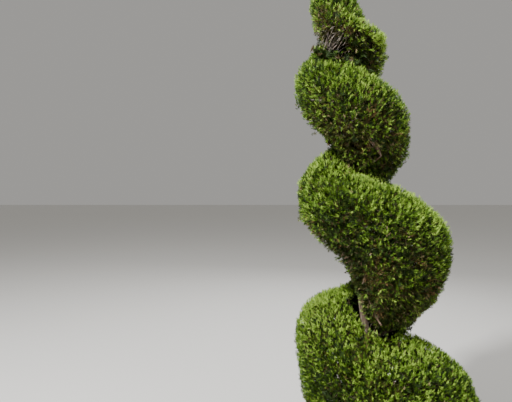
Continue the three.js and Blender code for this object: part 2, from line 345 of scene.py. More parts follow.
@dataclass(frozen=True)
class TrunkRule:
    """The trunk's line and thickness."""

    crown: Crown
    top: float = 2.125
    butt: float = 0.019
    end: float = 0.003
    flare: float = 0.017
    flare_height: float = 0.05
    crook: float = 0.007
    crook_from: float = 0.3
    crook_x: float = 0.19
    crook_y: float = 0.26

    def radius(self, z: Array) -> Array:
        """Radius of the trunk at levels z."""
        taper = np.maximum(1 - z / self.top, 0)
        return self.butt * taper + self.end + self.flare * np.exp(-z / self.flare_height)

    def at(self, z: Array) -> Array:
        """Middle of the trunk.

        Args:
            z: the levels.

        Returns:
            N rows of X, Y and Z.
        """
        full = np.minimum(z / self.crook_from, 1)
        x = self.crown.axis_x(z) - self.crown.axis_shift * (1 - (z / self.crown.top) ** 3)
        x = x + full * self.crook * np.sin(z / self.crook_x)
        return rows(x, full * self.crook * np.sin(z / self.crook_y + 1), z)


class LeafTint(Enum):
    """Plain colours of the sprays, brightest green first; each value is a linear base colour. The
    greens are dealt by a brightness that holds painted light and shade as well as the age of the
    growth.
    """

    LIME = (0.345, 0.520, 0.072)
    YELLOW_GREEN = (0.176, 0.325, 0.028)
    FRESH = (0.111, 0.215, 0.015)
    MID = (0.069, 0.141, 0.009)
    DEEP = (0.038, 0.085, 0.003)
    SHADE = (0.016, 0.037, 0.001)
    OLIVE = (0.088, 0.092, 0.016)
    DARK_OLIVE = (0.034, 0.038, 0.001)
    BRONZE = (0.135, 0.082, 0.026)
    STRAW = (0.330, 0.265, 0.130)
    DARK_BROWN = (0.046, 0.031, 0.004)

    @property
    def number(self) -> int:
        """The tint's place among the leaf materials."""
        return list(LeafTint).index(self)


def fill(node: bpy.types.Node, values: dict[str | int, object]) -> bpy.types.Node:
    """Sets a node's inputs.

    Args:
        node: the node.
        values: the values by name or number.

    Returns:
        The same node.
    """
    for key, value in values.items():
        node.inputs[key].default_value = value
    return node


def wire(tree: bpy.types.NodeTree, *rows: Wire) -> None:
    """Links nodes, a row for each link: node, output, node, input."""
    for source, leaving, target, entering in rows:
        tree.links.new(source.outputs[leaving], target.inputs[entering])


def chain(tree: bpy.types.NodeTree, *nodes: bpy.types.Node) -> None:
    """Links each node's first output to the next one's first input."""
    for source, target in zip(nodes, nodes[1:]):
        tree.links.new(source.outputs[0], target.inputs[0])


def matt(name: str, roughness: float, specular: float, colour: Colour) -> bpy.types.Material:
    """A material with a plain matt shader.

    Args:
        name: the material's name.
        roughness: the shader's roughness.
        specular: its specular level.
        colour: its linear base colour.

    Returns:
        The material.
    """
    material = bpy.data.materials.new(name)
    material.use_nodes = True
    shader = material.node_tree.nodes["Principled BSDF"]
    fill(shader, {"Base Color": (*colour, 1.0), "Roughness": roughness})
    shader.inputs["Specular IOR Level"].default_value = specular
    return material


@dataclass(frozen=True)
class LeafFinish:
    """Matt, slightly waxy scale leaves in one plain tint."""

    tint: LeafTint
    roughness: float = 0.62
    specular: float = 0.28

    def build(self) -> bpy.types.Material:
        """Makes the material."""
        name = "leaf_" + self.tint.name.lower()
        return matt(name, self.roughness, self.specular, self.tint.value)


@dataclass(frozen=True)
class BarkFinish:
    """Fibrous bark in strips that run along the limb, with pale weathered ridges."""

    name: str
    furrow: Colour
    middle: Colour
    ridge: Colour
    strips: float = 70.0
    stretch: float = 0.16
    relief: float = 0.5
    roughness: float = 0.86
    specular: float = 0.25
    patches: float = 14.0
    weathering: float = 0.55
    shaded: Colour = (0.55, 0.5, 0.46)

    def ramp(
        self, nodes: bpy.types.Nodes, low: tuple[float, Colour], high: tuple[float, Colour]
    ) -> bpy.types.Node:
        """A colour ramp between two stops.

        Args:
            nodes: the material's nodes.
            low: place and colour of the low stop.
            high: those of the high one.

        Returns:
            The ramp.
        """
        made = nodes.new("ShaderNodeValToRGB")
        for stop, (position, colour) in zip(made.color_ramp.elements, (low, high)):
            stop.position = position
            stop.color = (*colour, 1.0)
        return made

    def build(self) -> bpy.types.Material:
        """Makes the material.

        Returns:
            The material.
        """
        material = matt(self.name, self.roughness, self.specular, self.middle)
        nodes = material.node_tree.nodes
        shader = nodes["Principled BSDF"]
        place = nodes.new("ShaderNodeTexCoord")
        mapping = fill(nodes.new("ShaderNodeMapping"), {"Scale": (1.0, 1.0, self.stretch)})
        detail = {"Scale": self.strips, "Detail": 6.0, "Roughness": 0.62}
        fibres = fill(nodes.new("ShaderNodeTexNoise"), detail)
        patches = fill(nodes.new("ShaderNodeTexNoise"), {"Scale": self.patches, "Detail": 3.0})
        strips = self.ramp(nodes, (0.34, self.furrow), (0.66, self.ridge))
        strips.color_ramp.elements.new(0.5).color = (*self.middle, 1.0)
        tone = self.ramp(nodes, (0.35, self.shaded), (0.65, (1.0, 1.0, 1.0)))
        weather = nodes.new("ShaderNodeMix")
        weather.data_type = "RGBA"
        weather.blend_type = "MULTIPLY"
        fill(weather, {0: self.weathering})
        bump = fill(nodes.new("ShaderNodeBump"), {"Strength": self.relief, "Distance": 0.002})
        chain(material.node_tree, mapping, fibres, strips)
        chain(material.node_tree, patches, tone)
        wire(
            material.node_tree,
            (place, "Object", mapping, "Vector"),
            (place, "Object", patches, "Vector"),
            (strips, "Color", weather, 6),
            (tone, "Color", weather, 7),
            (weather, 2, shader, "Base Color"),
            (fibres, "Fac", bump, "Height"),
            (bump, "Normal", shader, "Normal"),
        )
        return material


BARKS = (
    BarkFinish("bark", (0.05, 0.032, 0.022), (0.20, 0.145, 0.105), (0.42, 0.35, 0.28)),
    BarkFinish("bough_bark", (0.04, 0.026, 0.018), (0.115, 0.08, 0.055), (0.23, 0.18, 0.14)),
    BarkFinish("twig_bark", (0.06, 0.035, 0.022), (0.17, 0.11, 0.07), (0.32, 0.26, 0.20), 160.0),
    BarkFinish("weathered_twig", (0.17, 0.13, 0.10), (0.36, 0.30, 0.25), (0.55, 0.49, 0.43), 160.0),
)


class NodeSheet:
    """A Geometry Nodes tree with a geometry going in and one coming out."""

    def __init__(self, name: str) -> None:
        """Starts an empty tree.

        Args:
            name: the tree's name.
        """
        self.tree = bpy.data.node_groups.new(name, "GeometryNodeTree")
        face = self.tree.interface
        face.new_socket("Geometry", in_out="INPUT", socket_type="NodeSocketGeometry")
        face.new_socket("Geometry", in_out="OUTPUT", socket_type="NodeSocketGeometry")
        self.given = self.node("NodeGroupInput")
        self.result = self.node("NodeGroupOutput")

    def node(
        self, kind: str, values: dict[str | int, object] | None = None, **settings: str
    ) -> bpy.types.Node:
        """Adds a node of a kind.

        Args:
            kind: the node's type.
            values: its inputs' values by name or number.
            settings: its own settings.

        Returns:
            The node.
        """
        made = self.tree.nodes.new(kind)
        for key, value in settings.items():
            setattr(made, key, value)
        return fill(made, values or {})

    def sizes(self, *rows: tuple[str, str, object]) -> None:
        """Adds named inputs.

        Args:
            rows: name, kind of socket and default, if any, of each.
        """
        for name, kind, default in rows:
            made = self.tree.interface.new_socket(
                name, in_out="INPUT", socket_type="NodeSocket" + kind
            )
            if default is not None:
                made.default_value = default

    def attribute(self, name: str, data_type: str) -> bpy.types.Node:
        """A node that reads a named attribute."""
        return self.node("GeometryNodeInputNamedAttribute", {"Name": name}, data_type=data_type)

    def dress(self, obj: bpy.types.Object, values: dict[str, object]) -> None:
        """Puts the tree on an object.

        Args:
            obj: the object that takes the modifier.
            values: the named inputs' values.
        """
        modifier = obj.modifiers.new(self.tree.name, "NODES")
        modifier.node_group = self.tree
        for name, value in values.items():
            modifier[self.tree.interface.items_tree[name].identifier] = value


def limb_sheet() -> NodeSheet:
    """The tree that grows a limb or twig with bark relief round each line of points.

    Returns:
        The finished tree.
    """
    sheet = NodeSheet("limb_skin")
    sheet.sizes(
        ("Sides", "Int", 3),
        ("Ring Step", "Float", 0.01),
        ("Relief", "Float", 0.0),
        ("Grain", "Float", 60.0),
        ("Bark", "Material", None),
    )
    line = sheet.node("GeometryNodeMeshToCurve")
    even = sheet.node("GeometryNodeResampleCurve", mode="LENGTH")
    ring = sheet.node("GeometryNodeCurvePrimitiveCircle", {"Radius": 1.0})
    skin = sheet.node("GeometryNodeCurveToMesh", {"Fill Caps": True})
    thickness = sheet.attribute("thickness", "FLOAT")
    normal = sheet.node("GeometryNodeInputNormal")
    place = sheet.node("GeometryNodeInputPosition")
    squeeze = sheet.node("ShaderNodeVectorMath", {1: (1.0, 1.0, 0.14)}, operation="MULTIPLY")
    grain = sheet.node("ShaderNodeTexNoise", {"Detail": 3.0})
    centred = sheet.node("ShaderNodeMath", {1: 0.5}, operation="SUBTRACT")
    amount = sheet.node("ShaderNodeMath", operation="MULTIPLY")
    offset = sheet.node("ShaderNodeVectorMath", operation="SCALE")
    raised = sheet.node("GeometryNodeSetPosition")
    again = sheet.node("GeometryNodeInputPosition")
    apart = sheet.node("ShaderNodeSeparateXYZ")
    ground = sheet.node("ShaderNodeMath", {1: 0.0}, operation="MAXIMUM")
    together = sheet.node("ShaderNodeCombineXYZ")
    flat_cut = sheet.node("GeometryNodeSetPosition")
    smooth = sheet.node("GeometryNodeSetShadeSmooth")
    real = sheet.node("GeometryNodeRealizeInstances")
    dressed = sheet.node("GeometryNodeSetMaterial")
    shaped = (sheet.given, line, even, skin, raised, flat_cut)
    chain(sheet.tree, *shaped, smooth, real, dressed, sheet.result)
    chain(sheet.tree, place, squeeze, grain, centred, amount)
    chain(sheet.tree, normal, offset)
    chain(sheet.tree, again, apart, together)
    wire(
        sheet.tree,
        (sheet.given, "Ring Step", even, "Length"),
        (sheet.given, "Sides", ring, "Resolution"),
        (ring, "Curve", skin, "Profile Curve"),
        (thickness, "Attribute", skin, "Scale"),
        (sheet.given, "Grain", grain, "Scale"),
        (sheet.given, "Relief", amount, 1),
        (amount, "Value", offset, "Scale"),
        (offset, "Vector", raised, "Offset"),
        (apart, "Y", together, "Y"),
        (apart, "Z", ground, 0),
        (ground, "Value", together, "Z"),
        (together, "Vector", flat_cut, "Position"),
        (sheet.given, "Bark", dressed, "Material"),
    )
    return sheet


def spray_sheet(tints: list[bpy.types.Material]) -> NodeSheet:
    """The tree that sets a spray on each point, turned, sized and tinted by the point.

    Args:
        tints: the leaf materials, in the order of the points' tint numbers.

    Returns:
        The finished tree.
    """
    sheet = NodeSheet("spray_scatter")
    sheet.sizes(("Shapes", "Collection", None))
    apart = {"Separate Children": True, "Reset Children": True}
    shapes = sheet.node("GeometryNodeCollectionInfo", apart)
    turn = sheet.node("FunctionNodeEulerToRotation")
    scatter = sheet.node("GeometryNodeInstanceOnPoints", {"Pick Instance": True})
    last = sheet.node("GeometryNodeRealizeInstances")
    chain(sheet.tree, sheet.given, scatter, last)
    wire(
        sheet.tree,
        (sheet.given, "Shapes", shapes, "Collection"),
        (shapes, "Instances", scatter, "Instance"),
        (sheet.attribute("shape", "INT"), "Attribute", scatter, "Instance Index"),
        (sheet.attribute("turn", "FLOAT_VECTOR"), "Attribute", turn, "Euler"),
        (turn, "Rotation", scatter, "Rotation"),
        (sheet.attribute("size", "FLOAT_VECTOR"), "Attribute", scatter, "Scale"),
    )
    tint = sheet.attribute("tint", "INT")
    for number, material in enumerate(tints):
        same = sheet.node("FunctionNodeCompare", data_type="INT", operation="EQUAL")
        fill(same, {3: number})
        dressed = sheet.node("GeometryNodeSetMaterial", {"Material": material})
        chosen = (same, "Result", dressed, "Selection")
        wire(sheet.tree, (tint, "Attribute", same, 2), chosen)
        chain(sheet.tree, last, dressed)
        last = dressed
    chain(sheet.tree, last, sheet.result)
    return sheet


def plain_object(name: str, data: bpy.types.ID) -> bpy.types.Object:
    """Puts data in the scene as an object.

    Args:
        name: the object's name.
        data: the mesh, light or camera.

    Returns:
        The object, at the origin.
    """
    obj = bpy.data.objects.new(name, data)
    bpy.context.scene.collection.objects.link(obj)
    return obj


def settle(obj: bpy.types.Object) -> bpy.types.Object:
    """Turns what an object's modifiers give into its plain mesh.

    Args:
        obj: the object with live modifiers.

    Returns:
        The same object with a plain mesh and no modifier.
    """
    graph = bpy.context.evaluated_depsgraph_get()
    mesh = bpy.data.meshes.new_from_object(obj.evaluated_get(graph), depsgraph=graph)
    mesh.name = obj.name
    obj.modifiers.clear()
    obj.data = mesh
    faces = len(mesh.polygons)
    index = np.zeros(faces, dtype=np.int32)
    mesh.polygons.foreach_get("material_index", index)
    filled = [i for i, material in enumerate(mesh.materials) if material is not None]
    kept = [mesh.materials[i] for i in filled]
    renumber = np.zeros(max(len(mesh.materials), 1), dtype=np.int32)
    renumber[filled] = np.arange(len(filled))
    mesh.materials.clear()
    for material in kept:
        mesh.materials.append(material)
    mesh.polygons.foreach_set("material_index", renumber[index])
    mesh.update()
    return obj


def triangles(obj: bpy.types.Object) -> int:
    """Number of triangles of an object's mesh."""
    return sum(len(face.vertices) - 2 for face in obj.data.polygons)


@dataclass
class LineWork:
    """Lines of points with a thickness at each, gathered for the limb tree."""

    points: list[Array] = field(default_factory=list)
    thickness: list[Array] = field(default_factory=list)

    def add(self, points: Array, thickness: Array) -> None:
        """Adds lines.

        Args:
            points: lines by points by X, Y and Z.
            thickness: lines by points.
        """
        for line, width in zip(points, thickness):
            self.points.append(line)
            self.thickness.append(width)

    def mesh(self, name: str) -> bpy.types.Mesh:
        """The lines as a mesh of edges that carries the thickness.

        Args:
            name: the mesh's name.

        Returns:
            The mesh of edges.
        """
        ends = np.cumsum([0] + [len(line) for line in self.points])
        edges = [
            (i, i + 1) for a, b in zip(ends[:-1], ends[1:]) for i in range(int(a), int(b) - 1)
        ]
        mesh = bpy.data.meshes.new(name)
        mesh.from_pydata(np.concatenate(self.points).tolist(), edges, [])
        width = mesh.attributes.new("thickness", "FLOAT", "POINT")
        width.data.foreach_set("value", np.concatenate(self.thickness).astype(np.float32))
        return mesh


def repeated(row: tuple[float, ...] | Array, count: int) -> Array:
    """The same row of thicknesses for each of some lines."""
    return np.tile(np.asarray(row), (count, 1))


def bowed(start: Array, end: Array, sag: Array, steps: int) -> Array:
    """Lines from starts to ends that bow by an offset.

    Args:
        start: N starts.
        end: N ends.
        sag: N offsets at the middle.
        steps: number of spans of each line.

    Returns:
        N by steps + 1 by 3 points.
    """
    share = np.linspace(0, 1, steps + 1)[None, :, None]
    bow = 4 * share * (1 - share)
    return start[:, None] * (1 - share) + end[:, None] * share + sag[:, None] * bow


def grown(
    name: str, lines: LineWork, sheet: NodeSheet, sizes: dict[str, object]
) -> bpy.types.Object:
    """Grows wood round lines.

    Args:
        name: the piece's name.
        lines: the lines of its limbs.
        sheet: the tree that grows limbs.
        sizes: the tree's named inputs.

    Returns:
        The piece as a plain mesh.
    """
    obj = plain_object(name, lines.mesh(name))
    sheet.dress(obj, sizes)
    return settle(obj)


@dataclass
class Bough:
    """One tapering limb from the trunk to the stem of a mass."""

    trunk: TrunkRule
    middle: float
    drop: float = 0.58
    out: float = 0.5
    low_rise: float = -0.2
    tip: float = 0.0042
    butt_share: float = 0.46
    close: float = 0.024
    clear: float = 0.009
    deepest: float = 2.4
    lowest: float = 0.075
    low_mass: float = 1.5
    bend_out: float = 0.55
    bend_up: float = 0.36
    collar: float = 0.35
    collar_share: float = 0.1

    def corners(self) -> tuple[Array, Array, Array]:
        """Start, bend and end of the bough's curve.

        Returns:
            The three points.
        """
        crown = self.trunk.crown
        size = crown.strand(self.middle)
        drop = self.drop * min(size.pitch, self.deepest * size.down)
        leave = max(float(size.level - drop), self.lowest)
        power = float(size.power_down)
        slope = (1 - self.out**power) ** (1 / power)
        if size.level - size.down < self.low_mass * crown.base:
            out = crown.inner_share * size.reach - self.clear
            rise = self.low_rise * size.down
        else:
            out = self.out * size.reach
            rise = -(size.down - self.close) * slope - self.clear
        end = crown.on_band(np.float64(self.middle), out, rise, crown.base)
        start = self.trunk.at(np.float64(leave))
        bend = start + (end - start) * self.bend_out
        bend[2] = start[2] + self.bend_up * (end[2] - start[2])
        return start, bend, end

    def line(self, steps: int) -> tuple[Array, Array]:
        """Points and thickness along the bough.

        Args:
            steps: number of spans.

        Returns:
            The points and their thickness.
        """
        start, bend, end = self.corners()
        share = np.linspace(0, 1, steps + 1)[:, None]
        points = start * (1 - share) ** 2 + bend * 2 * share * (1 - share) + end * share**2
        butt = max(self.butt_share * float(self.trunk.radius(start[2])), self.tip)
        collar = self.collar * butt * np.exp(-share[:, 0] / self.collar_share)
        return points, butt + (self.tip - butt) * share[:, 0] + collar

    def heading(self) -> Array:
        """Direction in which the bough ends."""
        _, bend, end = self.corners()
        return unit(end - bend)


@dataclass
class Woodwork:
    """The trunk and its boughs, with bark in relief."""

    trunk: TrunkRule
    boughs: list[Bough]
    sheet: NodeSheet
    bark: bpy.types.Material
    foot_levels: tuple[float, ...] = (0.0, 0.004, 0.008)
    trunk_ring: float = 0.007
    bough_ring: float = 0.006
    lobe: float = 0.05
    lobe_step: float = 0.031
    lobe_height: float = 0.4

    def build_trunk(self) -> bpy.types.Object:
        """The trunk from its flat cut to its tip.

        Returns:
            The piece.
        """
        levels = np.arange(2 * self.trunk_ring, self.trunk.top, self.trunk_ring)
        z = np.concatenate([self.foot_levels, levels])
        points = self.trunk.at(z)
        foot = len(self.foot_levels)
        points[:foot, :2] = points[foot - 1, :2] * np.linspace(0, 1, foot)[:, None]
        lobes = 1 + self.lobe * np.sin(z / self.lobe_step) * np.exp(-z / self.lobe_height)
        lines = LineWork([points], [self.trunk.radius(z) * lobes])
        sizes = {"Sides": 32, "Ring Step": self.trunk_ring, "Relief": 0.005, "Grain": 75.0}
        return grown("trunk_bark", lines, self.sheet, {**sizes, "Bark": self.bark})

    def build_boughs(self, bark: bpy.types.Material) -> bpy.types.Object:
        """All the boughs in one piece.

        Args:
            bark: the boughs' material.

        Returns:
            The piece.
        """
        lines = LineWork()
        for bough in self.boughs:
            points, width = bough.line(24)
            lines.add(points[None], width[None])
        sizes = {"Sides": 12, "Ring Step": self.bough_ring, "Relief": 0.0022, "Grain": 110.0}
        return grown("boughs_bark", lines, self.sheet, {**sizes, "Bark": bark})


@dataclass
class SprayTable:
    """Sprays to be set on points: where they root, how they grow, their shape and tint."""

    root: Array
    growth: Array
    face: Array
    length: Array
    shape: Array
    tint: Array

    def joined(self, other: "SprayTable") -> "SprayTable":
        """This table followed by another."""
        pairs = [(getattr(self, part.name), getattr(other, part.name)) for part in fields(self)]
        return SprayTable(*[np.concatenate(pair) for pair in pairs])

    def mesh(self, name: str, rng: np.random.Generator) -> bpy.types.Mesh:
        """The table as a mesh of points that carries turn, size, shape and tint.

        Args:
            name: the mesh's name.
            rng: the source of random widths.

        Returns:
            The mesh of loose points.
        """
        count = len(self.root)
        along = unit(self.growth)
        across = unit(np.cross(along, self.face))
        over = np.cross(across, along)
        turn = rows(
            np.arctan2(along[:, 2], over[:, 2]),
            -np.arcsin(np.clip(across[:, 2], -1, 1)),
            np.arctan2(across[:, 1], across[:, 0]),
        )
        width = rng.uniform(0.8, 1.2, count)
        size = rows(self.length * width, self.length, self.length)
        mesh = bpy.data.meshes.new(name)
        mesh.vertices.add(count)
        mesh.vertices.foreach_set("co", self.root.astype(np.float32).ravel())
        for label, kind, key, values in (
            ("turn", "FLOAT_VECTOR", "vector", turn.astype(np.float32)),
            ("size", "FLOAT_VECTOR", "vector", size.astype(np.float32)),
            ("shape", "INT", "value", self.shape.astype(np.int32)),
            ("tint", "INT", "value", self.tint.astype(np.int32)),
        ):
            made = mesh.attributes.new(label, kind, "POINT")
            made.data.foreach_set(key, values.ravel())
        return mesh


@dataclass(frozen=True)
class SprayShapes:
    """Shapes of one spray: feathery ones for the surface and broad ones for the inside."""

    feathery: int = 6
    broad: int = 2
    pairs: int = 2

    def feathery_spray(self, number: int) -> bpy.types.Mesh:
        """A narrow leading shoot with pairs of pointed side shoots, along +Y, one unit long.

        Args:
            number: which of the shapes.

        Returns:
            The shape's mesh.
        """
        rng = np.random.default_rng(SEED + number)
        curl = rng.uniform(-0.3, 0.3)
        points, faces = self.blade(rng.uniform(0.06, 0.085), 0.55, -0.04)
        for pair in range(self.pairs):
            for side in (-1, 1):
                low = 0.08 + 0.3 * pair + rng.uniform(-0.07, 0.07)
                reach = (0.38 - 0.08 * pair) * rng.uniform(0.75, 1.2)
                rise = rng.uniform(0.26, 0.4)
                tilt = rng.uniform(-0.14, 0.14)
                self.lobe(points, faces, low, 0.13, (side * reach, low + rise, tilt))
        return self.bent(f"spray_shape_{number}", points, faces, curl)

    def broad_spray(self, number: int) -> bpy.types.Mesh:
        """A broad shape of overlapping old shoots, along +Y, one unit long.

        Args:
            number: which of the shapes.

        Returns:
            The shape's mesh.
        """
        rng = np.random.default_rng(SEED + 50 + number)
        points, faces = self.blade(rng.uniform(0.13, 0.17), 0.5, -0.08)
        for pair in range(self.pairs):
            for side in (-1, 1):
                low = 0.05 + 0.28 * pair + rng.uniform(-0.05, 0.1)
                reach = (0.46 - 0.1 * pair) * rng.uniform(0.85, 1.15)
                self.lobe(points, faces, low, 0.26, (side * reach, low + 0.46, 0.05))
        return self.bent(f"spray_shape_{number}", points, faces, 0.15)

    def blade(self, wide: float, at: float, dip: float) -> tuple[list[Point], list[tuple]]:
        """Points and faces of the leading shoot, widest at a share of its length."""
        points = [(0, 0, 0), (wide, at, dip), (0, 1, 0), (-wide, at, dip)]
        return points, [(0, 1, 2), (0, 2, 3)]

    def lobe(
        self, points: list[Point], faces: list[tuple], low: float, tall: float, tip: Point
    ) -> None:
        """Adds a pointed side shoot to a shape's points and faces.

        Args:
            points: the shape's points.
            faces: its faces.
            low: where the shoot's foot begins along the leading one.
            tall: how far the foot reaches up it.
            tip: the shoot's tip.
        """
        first = len(points)
        points += [(0, low, 0), tip, (0, low + tall, 0)]
        order = (first, first + 1, first + 2)
        faces.append(order if tip[0] > 0 else order[::-1])

    def bent(
        self, name: str, points: list[Point], faces: list[tuple], curl: float
    ) -> bpy.types.Mesh:
        """A mesh of flat faces, curled along its length.

        Args:
            name: the mesh's name.
            points: its flat points.
            faces: its faces.
            curl: how far its end is raised.

        Returns:
            The mesh.
        """
        mesh = bpy.data.meshes.new(name)
        mesh.from_pydata([(x, y, z + curl * y * y) for x, y, z in points], [], faces)
        return mesh

    def collection(self) -> bpy.types.Collection:
        """The shapes as objects of a collection of their own.

        Returns:
            The collection.
        """
        made = bpy.data.collections.new("spray_shapes")
        bpy.context.scene.collection.children.link(made)
        for number in range(self.feathery + self.broad):
            build = self.feathery_spray if number < self.feathery else self.broad_spray
            mesh = build(number)
            made.objects.link(bpy.data.objects.new(mesh.name, mesh))
        return made

    def pick(self, broad: bool, count: int, rng: np.random.Generator) -> Array:
        """Shape numbers for some sprays.

        Args:
            broad: whether they are old broad ones.
            count: how many.
            rng: the source of random numbers.

        Returns:
            The numbers.
        """
        if broad:
            return self.feathery + rng.integers(0, self.broad, count)
        return rng.integers(0, self.feathery, count)


@dataclass(frozen=True)
class Spot:
    """A place of the band where the foliage is fresher or older or has painted light or shade, or is
    browner, sunk, thin or bare.
    """

    at: float
    bearing: float
    over: float
    wide: float
    # lighter tints above 0 and darker below it: younger or older growth, and painted light or shade
    # in some spots
    fresh: float = 0.0
    brown: float = 0.0
    sink: float = 0.0
    thin: float = 0.0
    bare: int = 0
    drop: float = 0.0

    def near(self, n: Array, bearing: Array) -> Array:
        """How near points of the band are.

        Args:
            n: counts of half turns.
            bearing: their bearings.

        Returns:
            1 at the spot's middle, falling to 0.
        """
        along = (n - self.at) / self.over
        across = (bearing - self.bearing) / self.wide
        return np.exp(-(along**2) - across**2)


@dataclass(frozen=True)
class Tone:
    """What makes a spray brighter or browner.

    Brightness is about 0 for old growth and 1 for young growth, and browning is the chance of a brown
    tint. Brightness also holds painted light and shade: tufts that face up are lighter, and tufts
    deep under the surface, in the hollows between clumps and behind a tuft's leading spray are
    darker. The marks are the brightnesses that part the green tints.
    """

    marks: tuple[float, ...] = (1.05, 0.82, 0.6, 0.4, 0.2)
    usual: float = 0.5
    # painted light: tufts that face up get lighter tints
    upward: float = 0.34
    # painted shade: tufts in the hollows between clumps get darker tints
    clump: float = 0.8
    patch: float = 0.6
    # painted shade: tufts deeper under the surface get darker tints
    shade: float = 12.0
    usual_depth: float = 0.006
    # the leading spray of a tuft is lighter and those behind it darker: younger growth at the tip,
    # and painted shade behind
    leading: float = 0.26
    behind: float = 0.66
    mottle: float = 0.36
    brown: float = 0.03
    brown_under: float = 0.42
    brown_thin: float = 0.25
    brown_hollow: float = 0.6
    under_from: float = 0.05
    hollow_from: float = 0.3
    olive_from: float = 0.35
    bronze_from: float = 0.66
    straw_share: float = 0.05
    lit: float = 0.22

    def shaded(self, depth: Array) -> Array:
        """Painted shade: what a tuft's depth takes from its brightness."""
        return self.shade * (depth - self.usual_depth)

    def bright(self, out: Array, clump: Array, depth: Array, patch: Array) -> Array:
        """Brightness of tufts, with painted light on those that face up and painted shade on deep
        ones and on those in the hollows between clumps.

        Args:
            out: directions out of the surface.
            clump: how near the middle of a clump they are, from 0 to 1.
            depth: how far they are under the surface.
            patch: how young the patch round them is, from 0 to 1.

        Returns:
            One value for each tuft.
        """
        score = self.usual + self.upward * out[:, 2] + self.clump * (clump - 0.5)
        return score - self.shaded(depth) + self.patch * (patch - 0.5)

    def browned(self, out: Array, clump: Array, thin: Array) -> Array:
        """Browning of tufts: undersides, thin places and hollows between clumps have more.

        Args:
            out: directions out of the surface.
            clump: how near the middle of a clump they are, from 0 to 1.
            thin: how thin the foliage is, from 0 to 1.

        Returns:
            One value for each tuft.
        """
        under = np.clip(-out[:, 2] - self.under_from, 0, 1)
        hollow = np.clip(self.hollow_from - clump, 0, 1)
        chance = self.brown + self.brown_under * under + self.brown_thin * thin
        return chance + self.brown_hollow * hollow


@dataclass(frozen=True)
class Twigging:
    """Thickness of the wood inside a mass, and how its twigs branch.

    An order of twigs is their number, their depth under the surface and their spans.
    """

    orders: tuple[tuple[int, float, int], ...] = (
        (16, 0.12, 3),
        (90, 0.075, 2),
        (330, 0.034, 2),
    )
    stem: tuple[float, float] = (0.0042, 0.003)
    stem_clear: float = 0.0003
    stem_length: float = 0.046
    first: float = 0.0026
    taper: float = 0.55
    finer: float = 0.58
    bow: float = 0.09
    sag: float = 0.1
    rooted_share: float = 0.06
    rooted_reach: float = 0.07
    rooted: tuple[float, float] = (0.0008, 0.0005)
    bare: tuple[float, ...] = (0.0011, 0.001, 0.0008, 0.0006)


